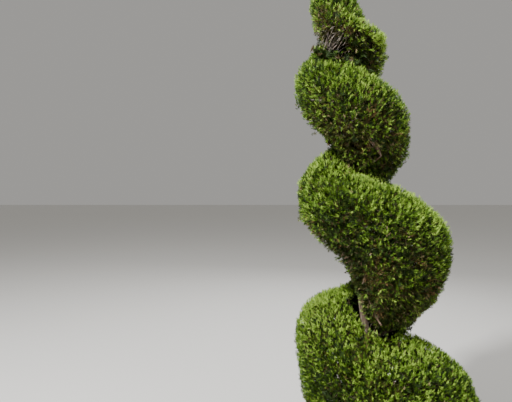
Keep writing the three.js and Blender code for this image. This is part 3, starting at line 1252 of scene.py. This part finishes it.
@dataclass(frozen=True)
class Growth:
    """How thickly the foliage grows, how far its tips stray, and the spots where it differs.

    Densities are for a square metre, and the fringe's for a metre. A pair of values is the least
    and the most.
    """

    tufts: float = 8100.0
    tuft_sprays: int = 4
    backing: float = 5800.0
    wall: float = 1500.0
    fringe: float = 520.0
    inner: float = 10000.0
    spray_length: float = 0.0168
    backing_length: float = 0.033
    proud: float = 0.06
    spots: tuple[Spot, ...] = (
        Spot(-0.1, 0.0, 0.6, math.inf, thin=0.4),
        Spot(0.25, 0.5, 0.28, 0.6, brown=0.4, fresh=-0.1),
        Spot(0.3, -0.75, 0.28, 0.55, brown=0.5, thin=0.9, bare=90),
        Spot(0.22, -1.1, 0.2, 0.25, bare=48, drop=0.045),
        # painted light, with young growth: lighter tints on the right lobe of the first stretch,
        # which the lamps leave in shade
        Spot(0.85, -0.2, 0.3, 0.8, fresh=0.75),
        Spot(1.0, -0.5, 0.2, 0.5, sink=-0.015),
        Spot(1.0, -1.2, 0.12, 0.4, sink=-0.022),
        Spot(2.04, -1.4, 0.1, 0.5, sink=0.015),
        Spot(2.2, 1.3, 0.17, 0.3, sink=0.022),
        Spot(2.28, -1.5, 0.1, 0.4, sink=-0.03),
        Spot(2.4, -0.6, 0.5, 0.65, brown=0.38, fresh=-0.04, bare=12),
        Spot(2.5, -0.6, 0.4, 0.5, thin=0.62),
        Spot(2.5, -1.45, 0.28, 0.35, sink=-0.034, fresh=0.3),
        Spot(2.58, 0.05, 0.1, 0.25, brown=0.25, fresh=-0.12),
        Spot(2.85, 0.6, 0.15, 0.4, sink=-0.015),
        Spot(2.85, -1.0, 0.12, 0.4, sink=-0.024),
        Spot(3.95, 0.9, 0.15, 0.4, sink=-0.010),
        Spot(3.9, -0.6, 0.35, 0.5, brown=0.3, fresh=-0.12),
        Spot(4.08, -1.3, 0.14, 0.5, sink=0.032),
        Spot(4.2, 1.35, 0.25, 0.35, sink=-0.028),
        Spot(4.27, -0.5, 0.1, 0.35, sink=0.03),
        Spot(4.33, -0.42, 0.06, 0.3, sink=0.024),
        Spot(4.36, -0.62, 0.045, 0.3, sink=0.022),
        Spot(4.38, 0.08, 0.08, 0.3, brown=0.1, fresh=-0.05),
        Spot(4.61, -0.02, 0.06, 0.2, brown=0.3, fresh=-0.2),
        Spot(4.33, -1.5, 0.07, 0.4, sink=-0.042),
        Spot(4.35, -1.45, 0.05, 0.12, bare=9, drop=0.06),
        Spot(4.55, -0.75, 0.4, 0.55, brown=0.42, fresh=-0.17),
        Spot(4.65, -1.2, 0.1, 0.4, sink=-0.02),
        Spot(4.85, -0.5, 0.12, 0.35, sink=0.014),
        Spot(4.85, 0.5, 0.2, 0.5, sink=-0.012),
        Spot(5.58, 1.0, 0.12, 0.5, sink=0.02),
        Spot(5.85, 0.85, 0.13, 0.4, sink=-0.032),
        Spot(6.0, 0.85, 0.2, 0.35, sink=-0.03),
        Spot(6.12, 0.85, 0.1, 0.35, brown=0.16, fresh=-0.05),
        Spot(6.15, 1.35, 0.2, 0.35, sink=-0.025),
        Spot(6.33, 0.95, 0.09, 0.25, brown=0.26, fresh=-0.06),
        Spot(6.42, 0.25, 0.22, 0.5, fresh=0.14),
        Spot(6.41, 0.49, 0.026, 0.09, brown=0.9, sink=0.012),
        Spot(6.25, -0.03, 0.035, 0.07, sink=0.026, fresh=-0.5),
        # painted shade: darker tints on the side of the low tier that faces away from the key light
        Spot(6.8, 0.6, 0.25, 0.7, fresh=-0.48),
        Spot(6.68, 1.2, 0.09, 0.4, sink=-0.025),
        Spot(6.76, 1.1, 0.13, 0.5, sink=-0.03),
        Spot(6.85, 0.8, 0.2, 0.35, sink=-0.018),
    )
    clump: float = 0.027
    ruffle: float = 0.013
    spread: float = 0.7
    tuft_depth: float = 0.016
    broad_patch: float = 0.11
    tint_patch: float = 0.055
    dead_patch: float = 0.05
    outset: float = 0.005
    hang: float = 0.012
    furthest: float = 0.022
    hang_from: float = 1.0
    hang_over: float = 0.4
    hang_room: float = 0.008
    hang_sunk: float = 0.012
    proud_by: tuple[float, float] = (0.003, 0.009)
    uneven: float = 0.003
    swell: float = 0.014
    clumping: float = 1.3
    thinning: float = 0.42
    baring: float = 0.3
    under_base: float = 0.004
    upright: float = 0.5
    faces_down: float = -0.3
    wander: float = 0.42
    most_wander: float = 0.75
    fanning: float = 2.2
    lift: float = 0.06
    facing: float = 0.6
    backing_depth: tuple[float, float] = (0.024, 0.056)
    backing_sink: tuple[float, float] = (-0.01, 0.04)
    backing_thinning: float = 0.8
    deep_share: float = 0.2
    deeper: float = 0.045
    wall_depth: tuple[float, float] = (-0.004, 0.02)
    wall_foot: float = 0.07
    wall_browning: float = 0.6
    inner_depth: tuple[float, float] = (0.012, 0.045)
    inner_thinning: float = 0.9
    fringe_out: tuple[float, float] = (-0.014, 0.03)
    fringe_drop: tuple[float, float] = (-0.016, 0.006)
    fringe_tone: tuple[float, float] = (0.1, 0.45)
    fringe_browning: float = 0.4
    tone: Tone = Tone()
    twigging: Twigging = Twigging()

    def clumped(self, clump: Array) -> Array:
        """Depth of the tips under the surface, least in the middle of a clump."""
        return self.ruffle * (1.0 - self.clumping * clump)


@dataclass(frozen=True)
class Kit:
    """What every mass is built with: the trees, the spray shapes and the twigs' materials."""

    scatter: NodeSheet
    shapes: bpy.types.Collection
    limbs: NodeSheet
    twig: bpy.types.Material
    weathered: bpy.types.Material


@dataclass
class Foliage:
    """One mass of foliage: a length of the band with its stem, twigs and sprays."""

    name: str
    crown: Crown
    start: float
    end: float
    carrier: Bough | None
    growth: Growth
    shapes: SprayShapes
    seed: int
    rng: np.random.Generator = field(init=False)

    def __post_init__(self) -> None:
        """Starts the mass's own source of random numbers."""
        self.rng = np.random.default_rng(self.seed)

    def scattered(self, density: float) -> tuple[Array, Array]:
        """Counts and bearings spread evenly over the mass's clipped surface.

        Args:
            density: points for a square metre.

        Returns:
            Counts of half turns and bearings.
        """
        n_edges = np.linspace(self.start, self.end, GRID_ALONG)
        b_edges = np.linspace(-0.5, 0.5, GRID_ROUND) * np.pi
        n, b = np.meshgrid(n_edges, b_edges, indexing="ij")
        grid = self.crown.skin(n.ravel(), b.ravel(), 0 * n.ravel()).reshape(*n.shape, 3)
        side = grid[1:, :-1] - grid[:-1, :-1]
        over = grid[:-1, 1:] - grid[:-1, :-1]
        area = np.linalg.norm(np.cross(side, over), axis=-1)
        wanted = area * density
        number = np.floor(wanted + self.rng.random(wanted.shape)).astype(int)
        i, j = np.nonzero(number)
        repeat = number[i, j]
        i, j = np.repeat(i, repeat), np.repeat(j, repeat)
        at_n = n_edges[i] + (n_edges[1] - n_edges[0]) * self.rng.random(len(i))
        at_b = b_edges[j] + (b_edges[1] - b_edges[0]) * self.rng.random(len(i))
        return at_n, at_b

    def outward(self, n: Array, bearing: Array) -> Array:
        """Directions straight out of the clipped surface.

        Args:
            n: counts of half turns.
            bearing: bearings round the band.

        Returns:
            N rows of X, Y and Z.
        """
        step = 0.004
        here = self.crown.skin(n, bearing, 0 * n)
        ahead = self.crown.skin(n + step, bearing, 0 * n) - here
        limit = np.clip(bearing + step, -np.pi / 2, np.pi / 2)
        back = np.clip(bearing - step, -np.pi / 2, np.pi / 2)
        across = self.crown.skin(n, limit, 0 * n) - self.crown.skin(n, back, 0 * n)
        out = unit(np.cross(across, ahead))
        heart = self.crown.on_band(n, self.crown.heart * self.crown.strand(n).reach, 0 * n, 0.0)
        return out * np.where(((here - heart) * out).sum(-1) < 0, -1, 1)[:, None]

    def thinness(self, n: Array, bearing: Array) -> Array:
        """How thin the foliage is, from 0 where dense to 1 where bare."""
        return np.clip(self.spotted("thin", n, bearing), 0, 1)

    def spotted(self, what: str, n: Array, bearing: Array) -> Array:
        """What all the spots together change of one quality, by its field's name."""
        return sum(getattr(spot, what) * spot.near(n, bearing) for spot in self.growth.spots)

    def tints(self, score: Array, browning: Array, points: Array) -> Array:
        """Deals a tint to each spray.

        Args:
            score: brightness, about 0 for old growth and 1 for young, with painted light and shade in
                it.
            browning: chance of a brown tint.
            points: where the sprays are.

        Returns:
            Tint numbers in the order of LeafTint.
        """
        tone = self.growth.tone
        green = (score[:, None] < np.array(tone.marks)).sum(axis=1)
        brown = self.rng.random(len(score)) < browning
        patch = soft_noise(points, self.growth.dead_patch, SEED + 7)
        dead = np.where(score > tone.olive_from, LeafTint.OLIVE.number, LeafTint.DARK_OLIVE.number)
        dead = np.where(patch > tone.bronze_from, LeafTint.BRONZE.number, dead)
        straw = self.rng.random(len(score)) < tone.straw_share
        dead = np.where(straw, LeafTint.STRAW.number, dead)
        return np.where(brown, dead, green)

    def tufted(self, tip: Array, axis: Array, score: Array, browning: Array) -> SprayTable:
        """Tufts of sprays that fan out round a leading one.

        Args:
            tip: the tufts' tips.
            axis: their directions.
            score: brightness of their growth, with painted light and shade in it.
            browning: chances of a brown tint.

        Returns:
            The table of their sprays.
        """
        grow, tone = self.growth, self.growth.tone
        each = grow.tuft_sprays
        count = len(tip) * each
        rank = np.tile(np.arange(each), len(tip)) / (each - 1)
        tip, axis = np.repeat(tip, each, axis=0), np.repeat(axis, each, axis=0)
        back = grow.tuft_depth * rank * self.rng.uniform(0.5, 1.3, count)
        lateral = self.rng.normal(0, 1, (count, 3))
        lateral = unit(lateral - axis * (lateral * axis).sum(-1, keepdims=True))
        open_out = grow.spread * np.minimum(grow.fanning * rank, 1)
        open_out = open_out * self.rng.uniform(0.5, 1.5, count)
        growth = unit(axis + lateral * open_out[:, None] + grow.lift * UP)
        length = grow.spray_length * self.rng.uniform(0.75, 1.25, count)
        root = tip - axis * (back + length)[:, None]
        face = unit(self.rng.normal(0, 1, (count, 3)) + grow.facing * lateral)
        # Younger growth at the tip and painted shade behind: the leader is lighter, the sprays behind
        # it darker.
        bright = np.repeat(score, each) + tone.leading - tone.behind * rank
        bright = bright + self.rng.normal(0, tone.mottle, count)
        chance = np.repeat(browning, each) * (0.5 + rank)
        shape = self.shapes.pick(False, count, self.rng)
        return SprayTable(root, growth, face, length, shape, self.tints(bright, chance, root))

    def broad_ones(
        self,
        middle: Array,
        growth: Array,
        face: Array,
        stray: float,
        longest: float,
        marks: tuple[float, float],
    ) -> SprayTable:
        """Old broad sprays, which close the mass; their dark tints are painted shade of the inside as
        well as old growth.

        Args:
            middle: the sprays' middles.
            growth: their directions.
            face: the way they face, whose third value makes them lighter.
            stray: how far they stray from it.
            longest: the longest one's length against the usual.
            marks: chances of the shade's tint and of it or dark olive; the rest are brown.

        Returns:
            The table of the sprays.
        """
        count = len(middle)
        length = self.growth.backing_length * self.rng.uniform(0.8, longest, count)
        root = middle - 0.5 * length[:, None] * growth
        facing = unit(face + self.rng.normal(0, stray, (count, 3)))
        shape = self.shapes.pick(True, count, self.rng)
        # Painted shade: the broad sprays get only the darkest tints, so that they read as the shade
        # inside the mass; the brown ones are old growth too.
        lot = self.rng.random(count) - self.growth.tone.lit * face[:, 2]
        tint = np.where(lot < marks[1], LeafTint.DARK_OLIVE.number, LeafTint.DARK_BROWN.number)
        tint = np.where(lot < marks[0], LeafTint.SHADE.number, tint)
        return SprayTable(root, growth, facing, length, shape, tint)

    def skin_sprays(self) -> SprayTable:
        """The tufts whose tips make the clipped surface.

        Returns:
            The table of the sprays.
        """
        grow = self.growth
        n, bearing = self.scattered(grow.tufts)
        thin = self.thinness(n, bearing)
        kept = self.rng.random(len(n)) > grow.thinning * thin + grow.baring * thin**4
        n, bearing, thin = n[kept], bearing[kept], thin[kept]
        count = len(n)
        surface = self.crown.skin(n, bearing, np.zeros(count))
        out = self.outward(n, bearing)
        clump = soft_noise(surface, grow.clump, SEED)
        broad = soft_noise(surface, grow.broad_patch, SEED + 3)
        eased = self.spotted("sink", n, bearing)
        sunk = grow.clumped(clump) + grow.swell * (0.5 - broad)
        sunk = sunk + self.rng.exponential(grow.uneven, count) + eased
        hang = np.clip((-bearing - grow.hang_from) / grow.hang_over, 0, 1)
        proud = (self.rng.random(count) < grow.proud) * self.rng.uniform(*grow.proud_by, count)
        outset = grow.outset + grow.hang * hang + proud * (1 - hang) - sunk
        limit = grow.furthest + (grow.hang_room + np.clip(-eased, 0, grow.hang_sunk)) * hang
        tip = surface + out * np.minimum(outset, limit)[:, None]
        tip[:, 2] = np.maximum(tip[:, 2], self.crown.base - grow.under_base)
        rise = np.where(out[:, 2] > grow.faces_down, grow.upright, 0.0)
        wander = self.rng.normal(0, grow.wander, (count, 3))
        wander = np.clip(wander, -grow.most_wander, grow.most_wander)
        axis = unit(out + wander + rise[:, None] * UP)
        patch = soft_noise(surface, grow.tint_patch, SEED + 11)
        # brightness holds painted light on upward faces and painted shade in hollows and under the
        # surface; spots add more
        score = grow.tone.bright(out, clump, sunk, patch) + self.spotted("fresh", n, bearing)
        browning = grow.tone.browned(out, clump, thin) + self.spotted("brown", n, bearing)
        return self.tufted(tip, axis, score, browning)

    def backing_sprays(self) -> SprayTable:
        """Old broad sprays under the surface, which close it; their dark tints are painted shade as
        well as old growth.

        Returns:
            The table of the sprays.
        """
        grow = self.growth
        n, bearing = self.scattered(grow.backing)
        kept = self.rng.random(len(n)) > grow.backing_thinning * self.thinness(n, bearing)
        n, bearing = n[kept], bearing[kept]
        count = len(n)
        depth = self.rng.uniform(*grow.backing_depth, count)
        depth = depth + grow.deeper * (self.rng.random(count) < grow.deep_share)
        depth = depth + np.clip(self.spotted("sink", n, bearing), *grow.backing_sink)
        out = self.outward(n, bearing)
        middle = self.crown.skin(n, bearing, depth)
        aside = self.rng.normal(0, 1, (count, 3))
        aside = unit(aside - out * (aside * out).sum(-1, keepdims=True))
        growth = unit(aside + 0.35 * out + 0.3 * UP)
        return self.broad_ones(middle, growth, out, stray=0.3, longest=1.2, marks=(0.5, 0.82))

    def wall_sprays(self) -> SprayTable:
        """Sparse brown sprays on the inner side, by the trunk.

        Returns:
            The table of the sprays.
        """
        grow = self.growth
        count = int(grow.wall * self.wall_area())
        n = self.rng.uniform(self.start, self.end, count)
        share = np.maximum(self.rng.uniform(0.0, 1.0, count) ** 1.5, grow.wall_foot)
        tip = self.crown.inner_wall(n, share, self.rng.uniform(*grow.wall_depth, count))
        theta = np.pi * (1 + n)
        inward = -rows(np.cos(theta), np.sin(theta), 0 * theta)
        axis = unit(0.8 * inward + self.rng.normal(0, 0.5, (count, 3)) + 0.6 * UP)
        # Painted shade: the inner side's sprays get dark tints, darker towards its foot.
        score = 0.1 + 0.4 * (share - 0.5)
        return self.tufted(tip, axis, score, np.full(count, grow.wall_browning))

    def inner_sprays(self) -> SprayTable:
        """Old broad sprays that close the inner side; their dark tints are painted shade as well as
        old growth.

        Returns:
            The table of the sprays.
        """
        grow = self.growth
        count = int(grow.inner * self.wall_area())
        n = self.rng.uniform(self.start, self.end, count)
        share = self.rng.uniform(0.02, 0.98, count)
        thin = self.thinness(n, np.pi * (share - 0.5))
        kept = self.rng.random(count) > grow.inner_thinning * thin
        n, share = n[kept], share[kept]
        count = len(n)
        middle = self.crown.inner_wall(n, share, self.rng.uniform(*grow.inner_depth, count))
        growth = unit(self.rng.normal(0, 1, (count, 3)) + 0.8 * UP)
        face = 0 * middle
        return self.broad_ones(middle, growth, face, stray=1.0, longest=1.35, marks=(0.6, 0.6))

    def fringe_sprays(self) -> SprayTable:
        """Brown and olive tufts that hang along the lower inner edge.

        Returns:
            The table of the sprays.
        """
        grow = self.growth
        count = int(grow.fringe * self.run(self.crown.inner_share))
        n = self.rng.uniform(self.start, self.end, count)
        size = self.crown.strand(n)
        out = self.crown.inner_share * size.reach + self.rng.uniform(*grow.fringe_out, count)
        rise = -size.down * size.rounding - self.rng.uniform(*grow.fringe_drop, count)
        tip = self.crown.on_band(n, out, rise, self.crown.base - grow.under_base)
        axis = unit(self.rng.normal(0, 0.55, (count, 3)) - 0.7 * UP)
        score = self.rng.uniform(*grow.fringe_tone, count)
        return self.tufted(tip, axis, score, np.full(count, grow.fringe_browning))

    def middle_size(self) -> Strand:
        """The band's sizes at the middle of the mass."""
        return self.crown.strand((self.start + self.end) / 2)

    def run(self, share: float) -> float:
        """Length of the mass along the band, at a share of its reach."""
        return math.pi * (self.end - self.start) * share * float(self.middle_size().reach)

    def wall_area(self) -> float:
        """Area of the inner side."""
        size = self.middle_size()
        return self.run(self.crown.inner_share) * float(size.up + size.down)

    def skin_area(self) -> float:
        """Area of the clipped surface."""
        size = self.middle_size()
        return self.run(0.8) * float(size.up + size.down + 0.9 * size.reach)

    def sprays(self) -> SprayTable:
        """All the mass's sprays.

        Returns:
            The table of the sprays.
        """
        outer = self.skin_sprays().joined(self.backing_sprays())
        inside = self.wall_sprays().joined(self.inner_sprays())
        return outer.joined(inside).joined(self.fringe_sprays())

    def stem(self) -> tuple[Array, Array]:
        """Start and end of the stem, which carries on from the bough.

        Returns:
            The two points.
        """
        wood = self.growth.twigging
        heading = self.carrier.heading()
        _, _, end = self.carrier.corners()
        return end + wood.stem_clear * heading, end + wood.stem_length * heading

    def twigs(self, roots: Array, bare: LineWork) -> LineWork:
        """The stem and the twigs that branch from it towards the sprays.

        Args:
            roots: where the sprays root.
            bare: takes the lines of the leafless twigs.

        Returns:
            The lines of leafy twigs.
        """
        wood = self.growth.twigging
        lines = LineWork()
        foot, head = self.stem()
        lines.add(np.stack([foot, head])[None], repeated(wood.stem, 1))
        parents = foot + (head - foot) * np.linspace(0.25, 1, 5)[:, None]
        width = wood.first
        for number, depth, steps in wood.orders:
            n, bearing = self.scattered(number / max(self.skin_area(), 1e-6))
            if not len(n):
                continue
            limit = 0.55 * np.minimum(self.crown.strand(n).up, 0.6 * self.crown.strand(n).reach)
            ends = self.crown.skin(n, bearing, np.minimum(depth, limit))
            starts = self.nearest(parents, ends)
            span = np.linalg.norm(ends - starts, axis=1, keepdims=True)
            sag = span * self.rng.normal(0, wood.bow, ends.shape) - wood.sag * UP * span
            taper = repeated(width * np.linspace(1, wood.taper, steps + 1), len(n))
            lines.add(bowed(starts, ends, sag, steps), taper)
            parents = ends
            width *= wood.finer
        for spot in self.growth.spots:
            if spot.bare and self.start <= spot.at < self.end:
                self.bare_twigs(spot, parents, bare)
        picked = roots[self.rng.permutation(len(roots))[: int(wood.rooted_share * len(roots))]]
        starts = self.nearest(parents, picked)
        near = np.linalg.norm(picked - starts, axis=1) < wood.rooted_reach
        sag = self.rng.normal(0, 0.002, (int(near.sum()), 3))
        lines.add(bowed(starts[near], picked[near], sag, 1), repeated(wood.rooted, len(sag)))
        return lines

    def bare_twigs(self, spot: Spot, parents: Array, lines: LineWork) -> None:
        """Adds the leafless twigs of a spot to the lines.

        Args:
            spot: where they show.
            parents: points of the twigs that carry them.
            lines: the lines of twigs.
        """
        n = spot.at + spot.over * self.rng.normal(0, 0.8, spot.bare)
        bearing = spot.bearing + spot.wide * self.rng.normal(0, 0.8, spot.bare)
        bearing = np.clip(bearing, -1.56, 1.56)
        ends = self.crown.skin(n, bearing, self.rng.uniform(-0.002, 0.014, spot.bare))
        ends[:, 2] -= spot.drop * self.rng.uniform(0.3, 1, spot.bare)
        starts = self.nearest(parents, ends)
        span = np.linalg.norm(ends - starts, axis=1, keepdims=True)
        sag = span * np.clip(self.rng.normal(0, 0.14, ends.shape), -0.2, 0.2)
        widths = self.growth.twigging.bare
        lines.add(bowed(starts, ends, sag, len(widths) - 1), repeated(widths, spot.bare))

    def nearest(self, parents: Array, ends: Array) -> Array:
        """The nearest parent of each end.

        Args:
            parents: points to pick from.
            ends: points to be carried.

        Returns:
            A parent for each end.
        """
        found = np.empty(len(ends), dtype=int)
        for first in range(0, len(ends), 2000):
            part = ends[first : first + 2000]
            gap = ((part[:, None] - parents[None]) ** 2).sum(-1)
            found[first : first + 2000] = gap.argmin(axis=1)
        return parents[found]

    def build(self, kit: Kit) -> list[bpy.types.Object]:
        """Builds the mass's pieces.

        Args:
            kit: the trees, shapes and materials.

        Returns:
            The piece of sprays, the piece of twigs and, if the mass has any, that of bare twigs.
        """
        table = self.sprays()
        leaves = plain_object(self.name + "_sprays", table.mesh(self.name + "_sprays", self.rng))
        kit.scatter.dress(leaves, {"Shapes": kit.shapes})
        pieces = [settle(leaves)]
        bare = LineWork()
        leafy = self.twigs(table.root, bare)
        sizes = {"Sides": 3, "Ring Step": 10.0, "Relief": 0.0}
        for label, lines, bark in (("_twigs", leafy, kit.twig), ("_bare_twigs", bare, kit.weathered)):
            if lines.points:
                pieces.append(grown(self.name + label, lines, kit.limbs, {**sizes, "Bark": bark}))
        return pieces


@dataclass
class TipFoliage(Foliage):
    """The pointed tip together with the band's first stretch."""

    leader: TrunkRule | None = None
    overlap: float = 0.08
    cone_share: float = 0.42
    uneven: float = 0.004
    inside_share: float = 0.3
    inside_depth: float = 0.03
    brightness: float = 0.58
    # painted shade: tufts in the hollows between the tip's clumps get darker tints
    clump_tone: float = 0.9
    twig_density: float = 2200.0
    twig_widths: tuple[float, ...] = (0.0014, 0.001, 0.0007)

    def cone(self, density: float) -> tuple[Array, Array, Array]:
        """Places spread over the pointed tip.

        Args:
            density: points for a square metre, about.

        Returns:
            Levels, turns and radii.
        """
        foot, top = self.crown.tip_foot - self.overlap, self.crown.top
        z = self.rng.uniform(foot, top, int(density * self.cone_share))
        radius = self.crown.tip_share * self.crown.reach_at(z)
        turn = self.rng.uniform(0, 2 * np.pi, len(z))
        kept = self.rng.random(len(z)) < radius / radius.max()
        kept &= (z > self.crown.tip_foot - 0.01) | (np.cos(turn) > 0)
        return z[kept], turn[kept], radius[kept]

    def cone_points(self, z: Array, turn: Array, radius: Array) -> Array:
        """Points at radii round the tip's axis.

        Args:
            z: levels on the axis.
            turn: turns round it.
            radius: distances from it.

        Returns:
            N rows of X, Y and Z.
        """
        side = radius * np.cos(turn)
        level = z + self.crown.ring_tilt * side
        return rows(self.crown.axis_x(z) + side, radius * np.sin(turn), level)

    def cone_sprays(self) -> SprayTable:
        """Upright tufts of the pointed tip.

        Returns:
            The table of the sprays.
        """
        z, turn, radius = self.cone(self.growth.tufts)
        count = len(z)
        surface = self.cone_points(z, turn, radius)
        clump = soft_noise(surface, self.growth.clump, SEED)
        depth = self.growth.clumped(clump) + self.rng.exponential(self.uneven, count)
        inside = self.rng.random(count) < self.inside_share
        depth = np.where(inside, depth + self.inside_depth, depth)
        tip = self.cone_points(z, turn, np.maximum(radius - depth, 0.0))
        tip[:, 2] = np.minimum(tip[:, 2], self.crown.top - 0.002)
        out = rows(np.cos(turn), np.sin(turn), np.full(count, 0.35))
        axis = unit(out + self.rng.normal(0, 0.3, (count, 3)) + UP)
        # painted shade: tufts deeper under the surface and between clumps get darker tints
        score = self.brightness + self.clump_tone * (clump - 0.5)
        score = score - self.growth.tone.shaded(depth)
        return self.tufted(tip, axis, score, np.where(inside, 0.5, 0.06))

    def sprays(self) -> SprayTable:
        """The sprays of the tip and of the first stretch."""
        return super().sprays().joined(self.cone_sprays())

    def stem(self) -> tuple[Array, Array]:
        """The first twigs leave the trunk itself.

        Returns:
            Start and end of the stem.
        """
        z = np.float64(self.crown.strand(0.1).level)
        foot = self.leader.at(z)
        return foot, foot + np.array([0.012, -0.004, 0.03])

    def twigs(self, roots: Array, bare: LineWork) -> LineWork:
        """Twigs from the trunk to the sprays, those of the pointed tip straight off the leader.

        Args:
            roots: where the sprays root.
            bare: takes the lines of the leafless twigs.

        Returns:
            The lines of leafy twigs.
        """
        lines = super().twigs(roots, bare)
        z, turn, radius = self.cone(self.twig_density)
        ends = self.cone_points(z, turn, 0.7 * radius)
        starts = self.leader.at(np.clip(z - 0.03, 0, self.leader.top - 0.01))
        sag = self.rng.normal(0, 0.003, ends.shape)
        spans = len(self.twig_widths) - 1
        lines.add(bowed(starts, ends, sag, spans), repeated(self.twig_widths, len(z)))
        return lines


@dataclass(frozen=True)
class Lamp:
    """A square area light: where it hangs, the side that shines and its watts."""

    name: str
    place: Point
    side: float
    power: float


@dataclass(frozen=True)
class Studio:
    """Pale floor, soft light and the camera at the photograph's angle."""

    focal_pixels: float = 400.0
    frame_pixels: float = 512.0
    eye: Point = (-0.505, -1.60, 1.24)
    horizon_above: float = 8.0
    sensor: float = 36.0
    floor_side: float = 40.0
    floor_colour: Colour = (0.78, 0.77, 0.74)
    sky: Colour = (0.92, 0.90, 0.86)
    sky_strength: float = 0.40
    aim: Point = (-0.05, 0.0, 1.1)
    lamps: tuple[Lamp, ...] = (
        Lamp("key", (-2.8, -2.3, 4.8), 0.45, 525.0),
        Lamp("fill", (2.6, -2.8, 2.2), 2.4, 46.0),
        Lamp("back", (0.6, 3.2, 3.0), 2.4, 60.0),
    )

    def floor(self) -> bpy.types.Object:
        """A wide pale floor.

        Returns:
            The floor.
        """
        side = self.floor_side
        corners = [(-side, -side, 0), (side, -side, 0), (side, side, 0), (-side, side, 0)]
        mesh = bpy.data.meshes.new("studio_floor")
        mesh.from_pydata(corners, [], [(0, 1, 2, 3)])
        mesh.materials.append(matt("studio_floor", 0.9, 0.5, self.floor_colour))
        return plain_object("studio_floor", mesh)

    def light(self, lamp: Lamp) -> None:
        """Hangs an area light, aimed at the plant.

        Args:
            lamp: the light.
        """
        data = bpy.data.lights.new(lamp.name, "AREA")
        data.energy = lamp.power
        data.size = lamp.side
        obj = plain_object(lamp.name, data)
        obj.location = lamp.place
        aim = np.array(self.aim) - np.array(lamp.place)
        yaw = math.atan2(aim[0], -aim[1])
        tilt = math.atan2(math.hypot(aim[0], aim[1]), -aim[2])
        obj.rotation_euler = (tilt, 0, math.pi + yaw)

    def world(self) -> None:
        """An even pale surrounding."""
        world = bpy.data.worlds.new("studio")
        world.use_nodes = True
        background = world.node_tree.nodes["Background"]
        fill(background, {"Color": (*self.sky, 1.0), "Strength": self.sky_strength})
        bpy.context.scene.world = world

    def camera(self) -> None:
        """The camera, held level with its horizon a little over the middle of the picture."""
        lens = bpy.data.cameras.new("camera")
        lens.sensor_width = self.sensor
        lens.lens = self.sensor * self.focal_pixels / self.frame_pixels
        lens.clip_start = 0.05
        obj = plain_object("camera", lens)
        obj.location = self.eye
        down = math.atan(self.horizon_above / self.focal_pixels)
        obj.rotation_euler = (math.pi / 2 - down, 0, 0)
        bpy.context.scene.camera = obj

    def build(self) -> None:
        """Sets the whole studio."""
        self.floor()
        for lamp in self.lamps:
            self.light(lamp)
        self.world()
        self.camera()


def main() -> None:
    """Builds the topiary piece by piece and sets the studio."""
    logging.basicConfig(level=logging.INFO, format="%(name)s: %(message)s")
    crown = Crown()
    trunk = TrunkRule(crown)
    marks = crown.cuts()
    spans = list(zip(marks[:-1], marks[1:]))
    boughs = [Bough(trunk, (start + end) / 2) for start, end in spans[1:]]
    limbs = limb_sheet()
    scatter = spray_sheet([LeafFinish(tint).build() for tint in LeafTint])
    bark, bough_bark, twig_bark, weathered = (finish.build() for finish in BARKS)
    spray = SprayShapes()
    shapes = spray.collection()
    kit = Kit(scatter, shapes, limbs, twig_bark, weathered)
    growth = Growth()
    masses = [TipFoliage("foliage_tip", crown, *spans[0], None, growth, spray, SEED, leader=trunk)]
    for number, (span, bough) in enumerate(zip(spans[1:], boughs), start=1):
        name = f"foliage_{number:02d}"
        masses.append(Foliage(name, crown, *span, bough, growth, spray, SEED + number))
    wood = Woodwork(trunk, boughs, limbs, bark)
    built = [(piece, [mass.name]) for mass in masses for piece in mass.build(kit)]
    built.append((wood.build_trunk(), ["trunk"]))
    bough_names = [f"bough_{number:02d}" for number in range(1, len(boughs) + 1)]
    built.append((wood.build_boughs(bough_bark), bough_names))
    total = 0
    for piece, replaced in built:
        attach(piece, BODY)
        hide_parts(*replaced)
        total += triangles(piece)
        log.info("%s: %d triangles", piece.name, triangles(piece))
    for shape in list(shapes.objects):
        bpy.data.objects.remove(shape)
    bpy.data.collections.remove(shapes)
    log.info("whole plant: %d triangles", total)
    Studio().build()


if __name__ == "__main__":
    main()
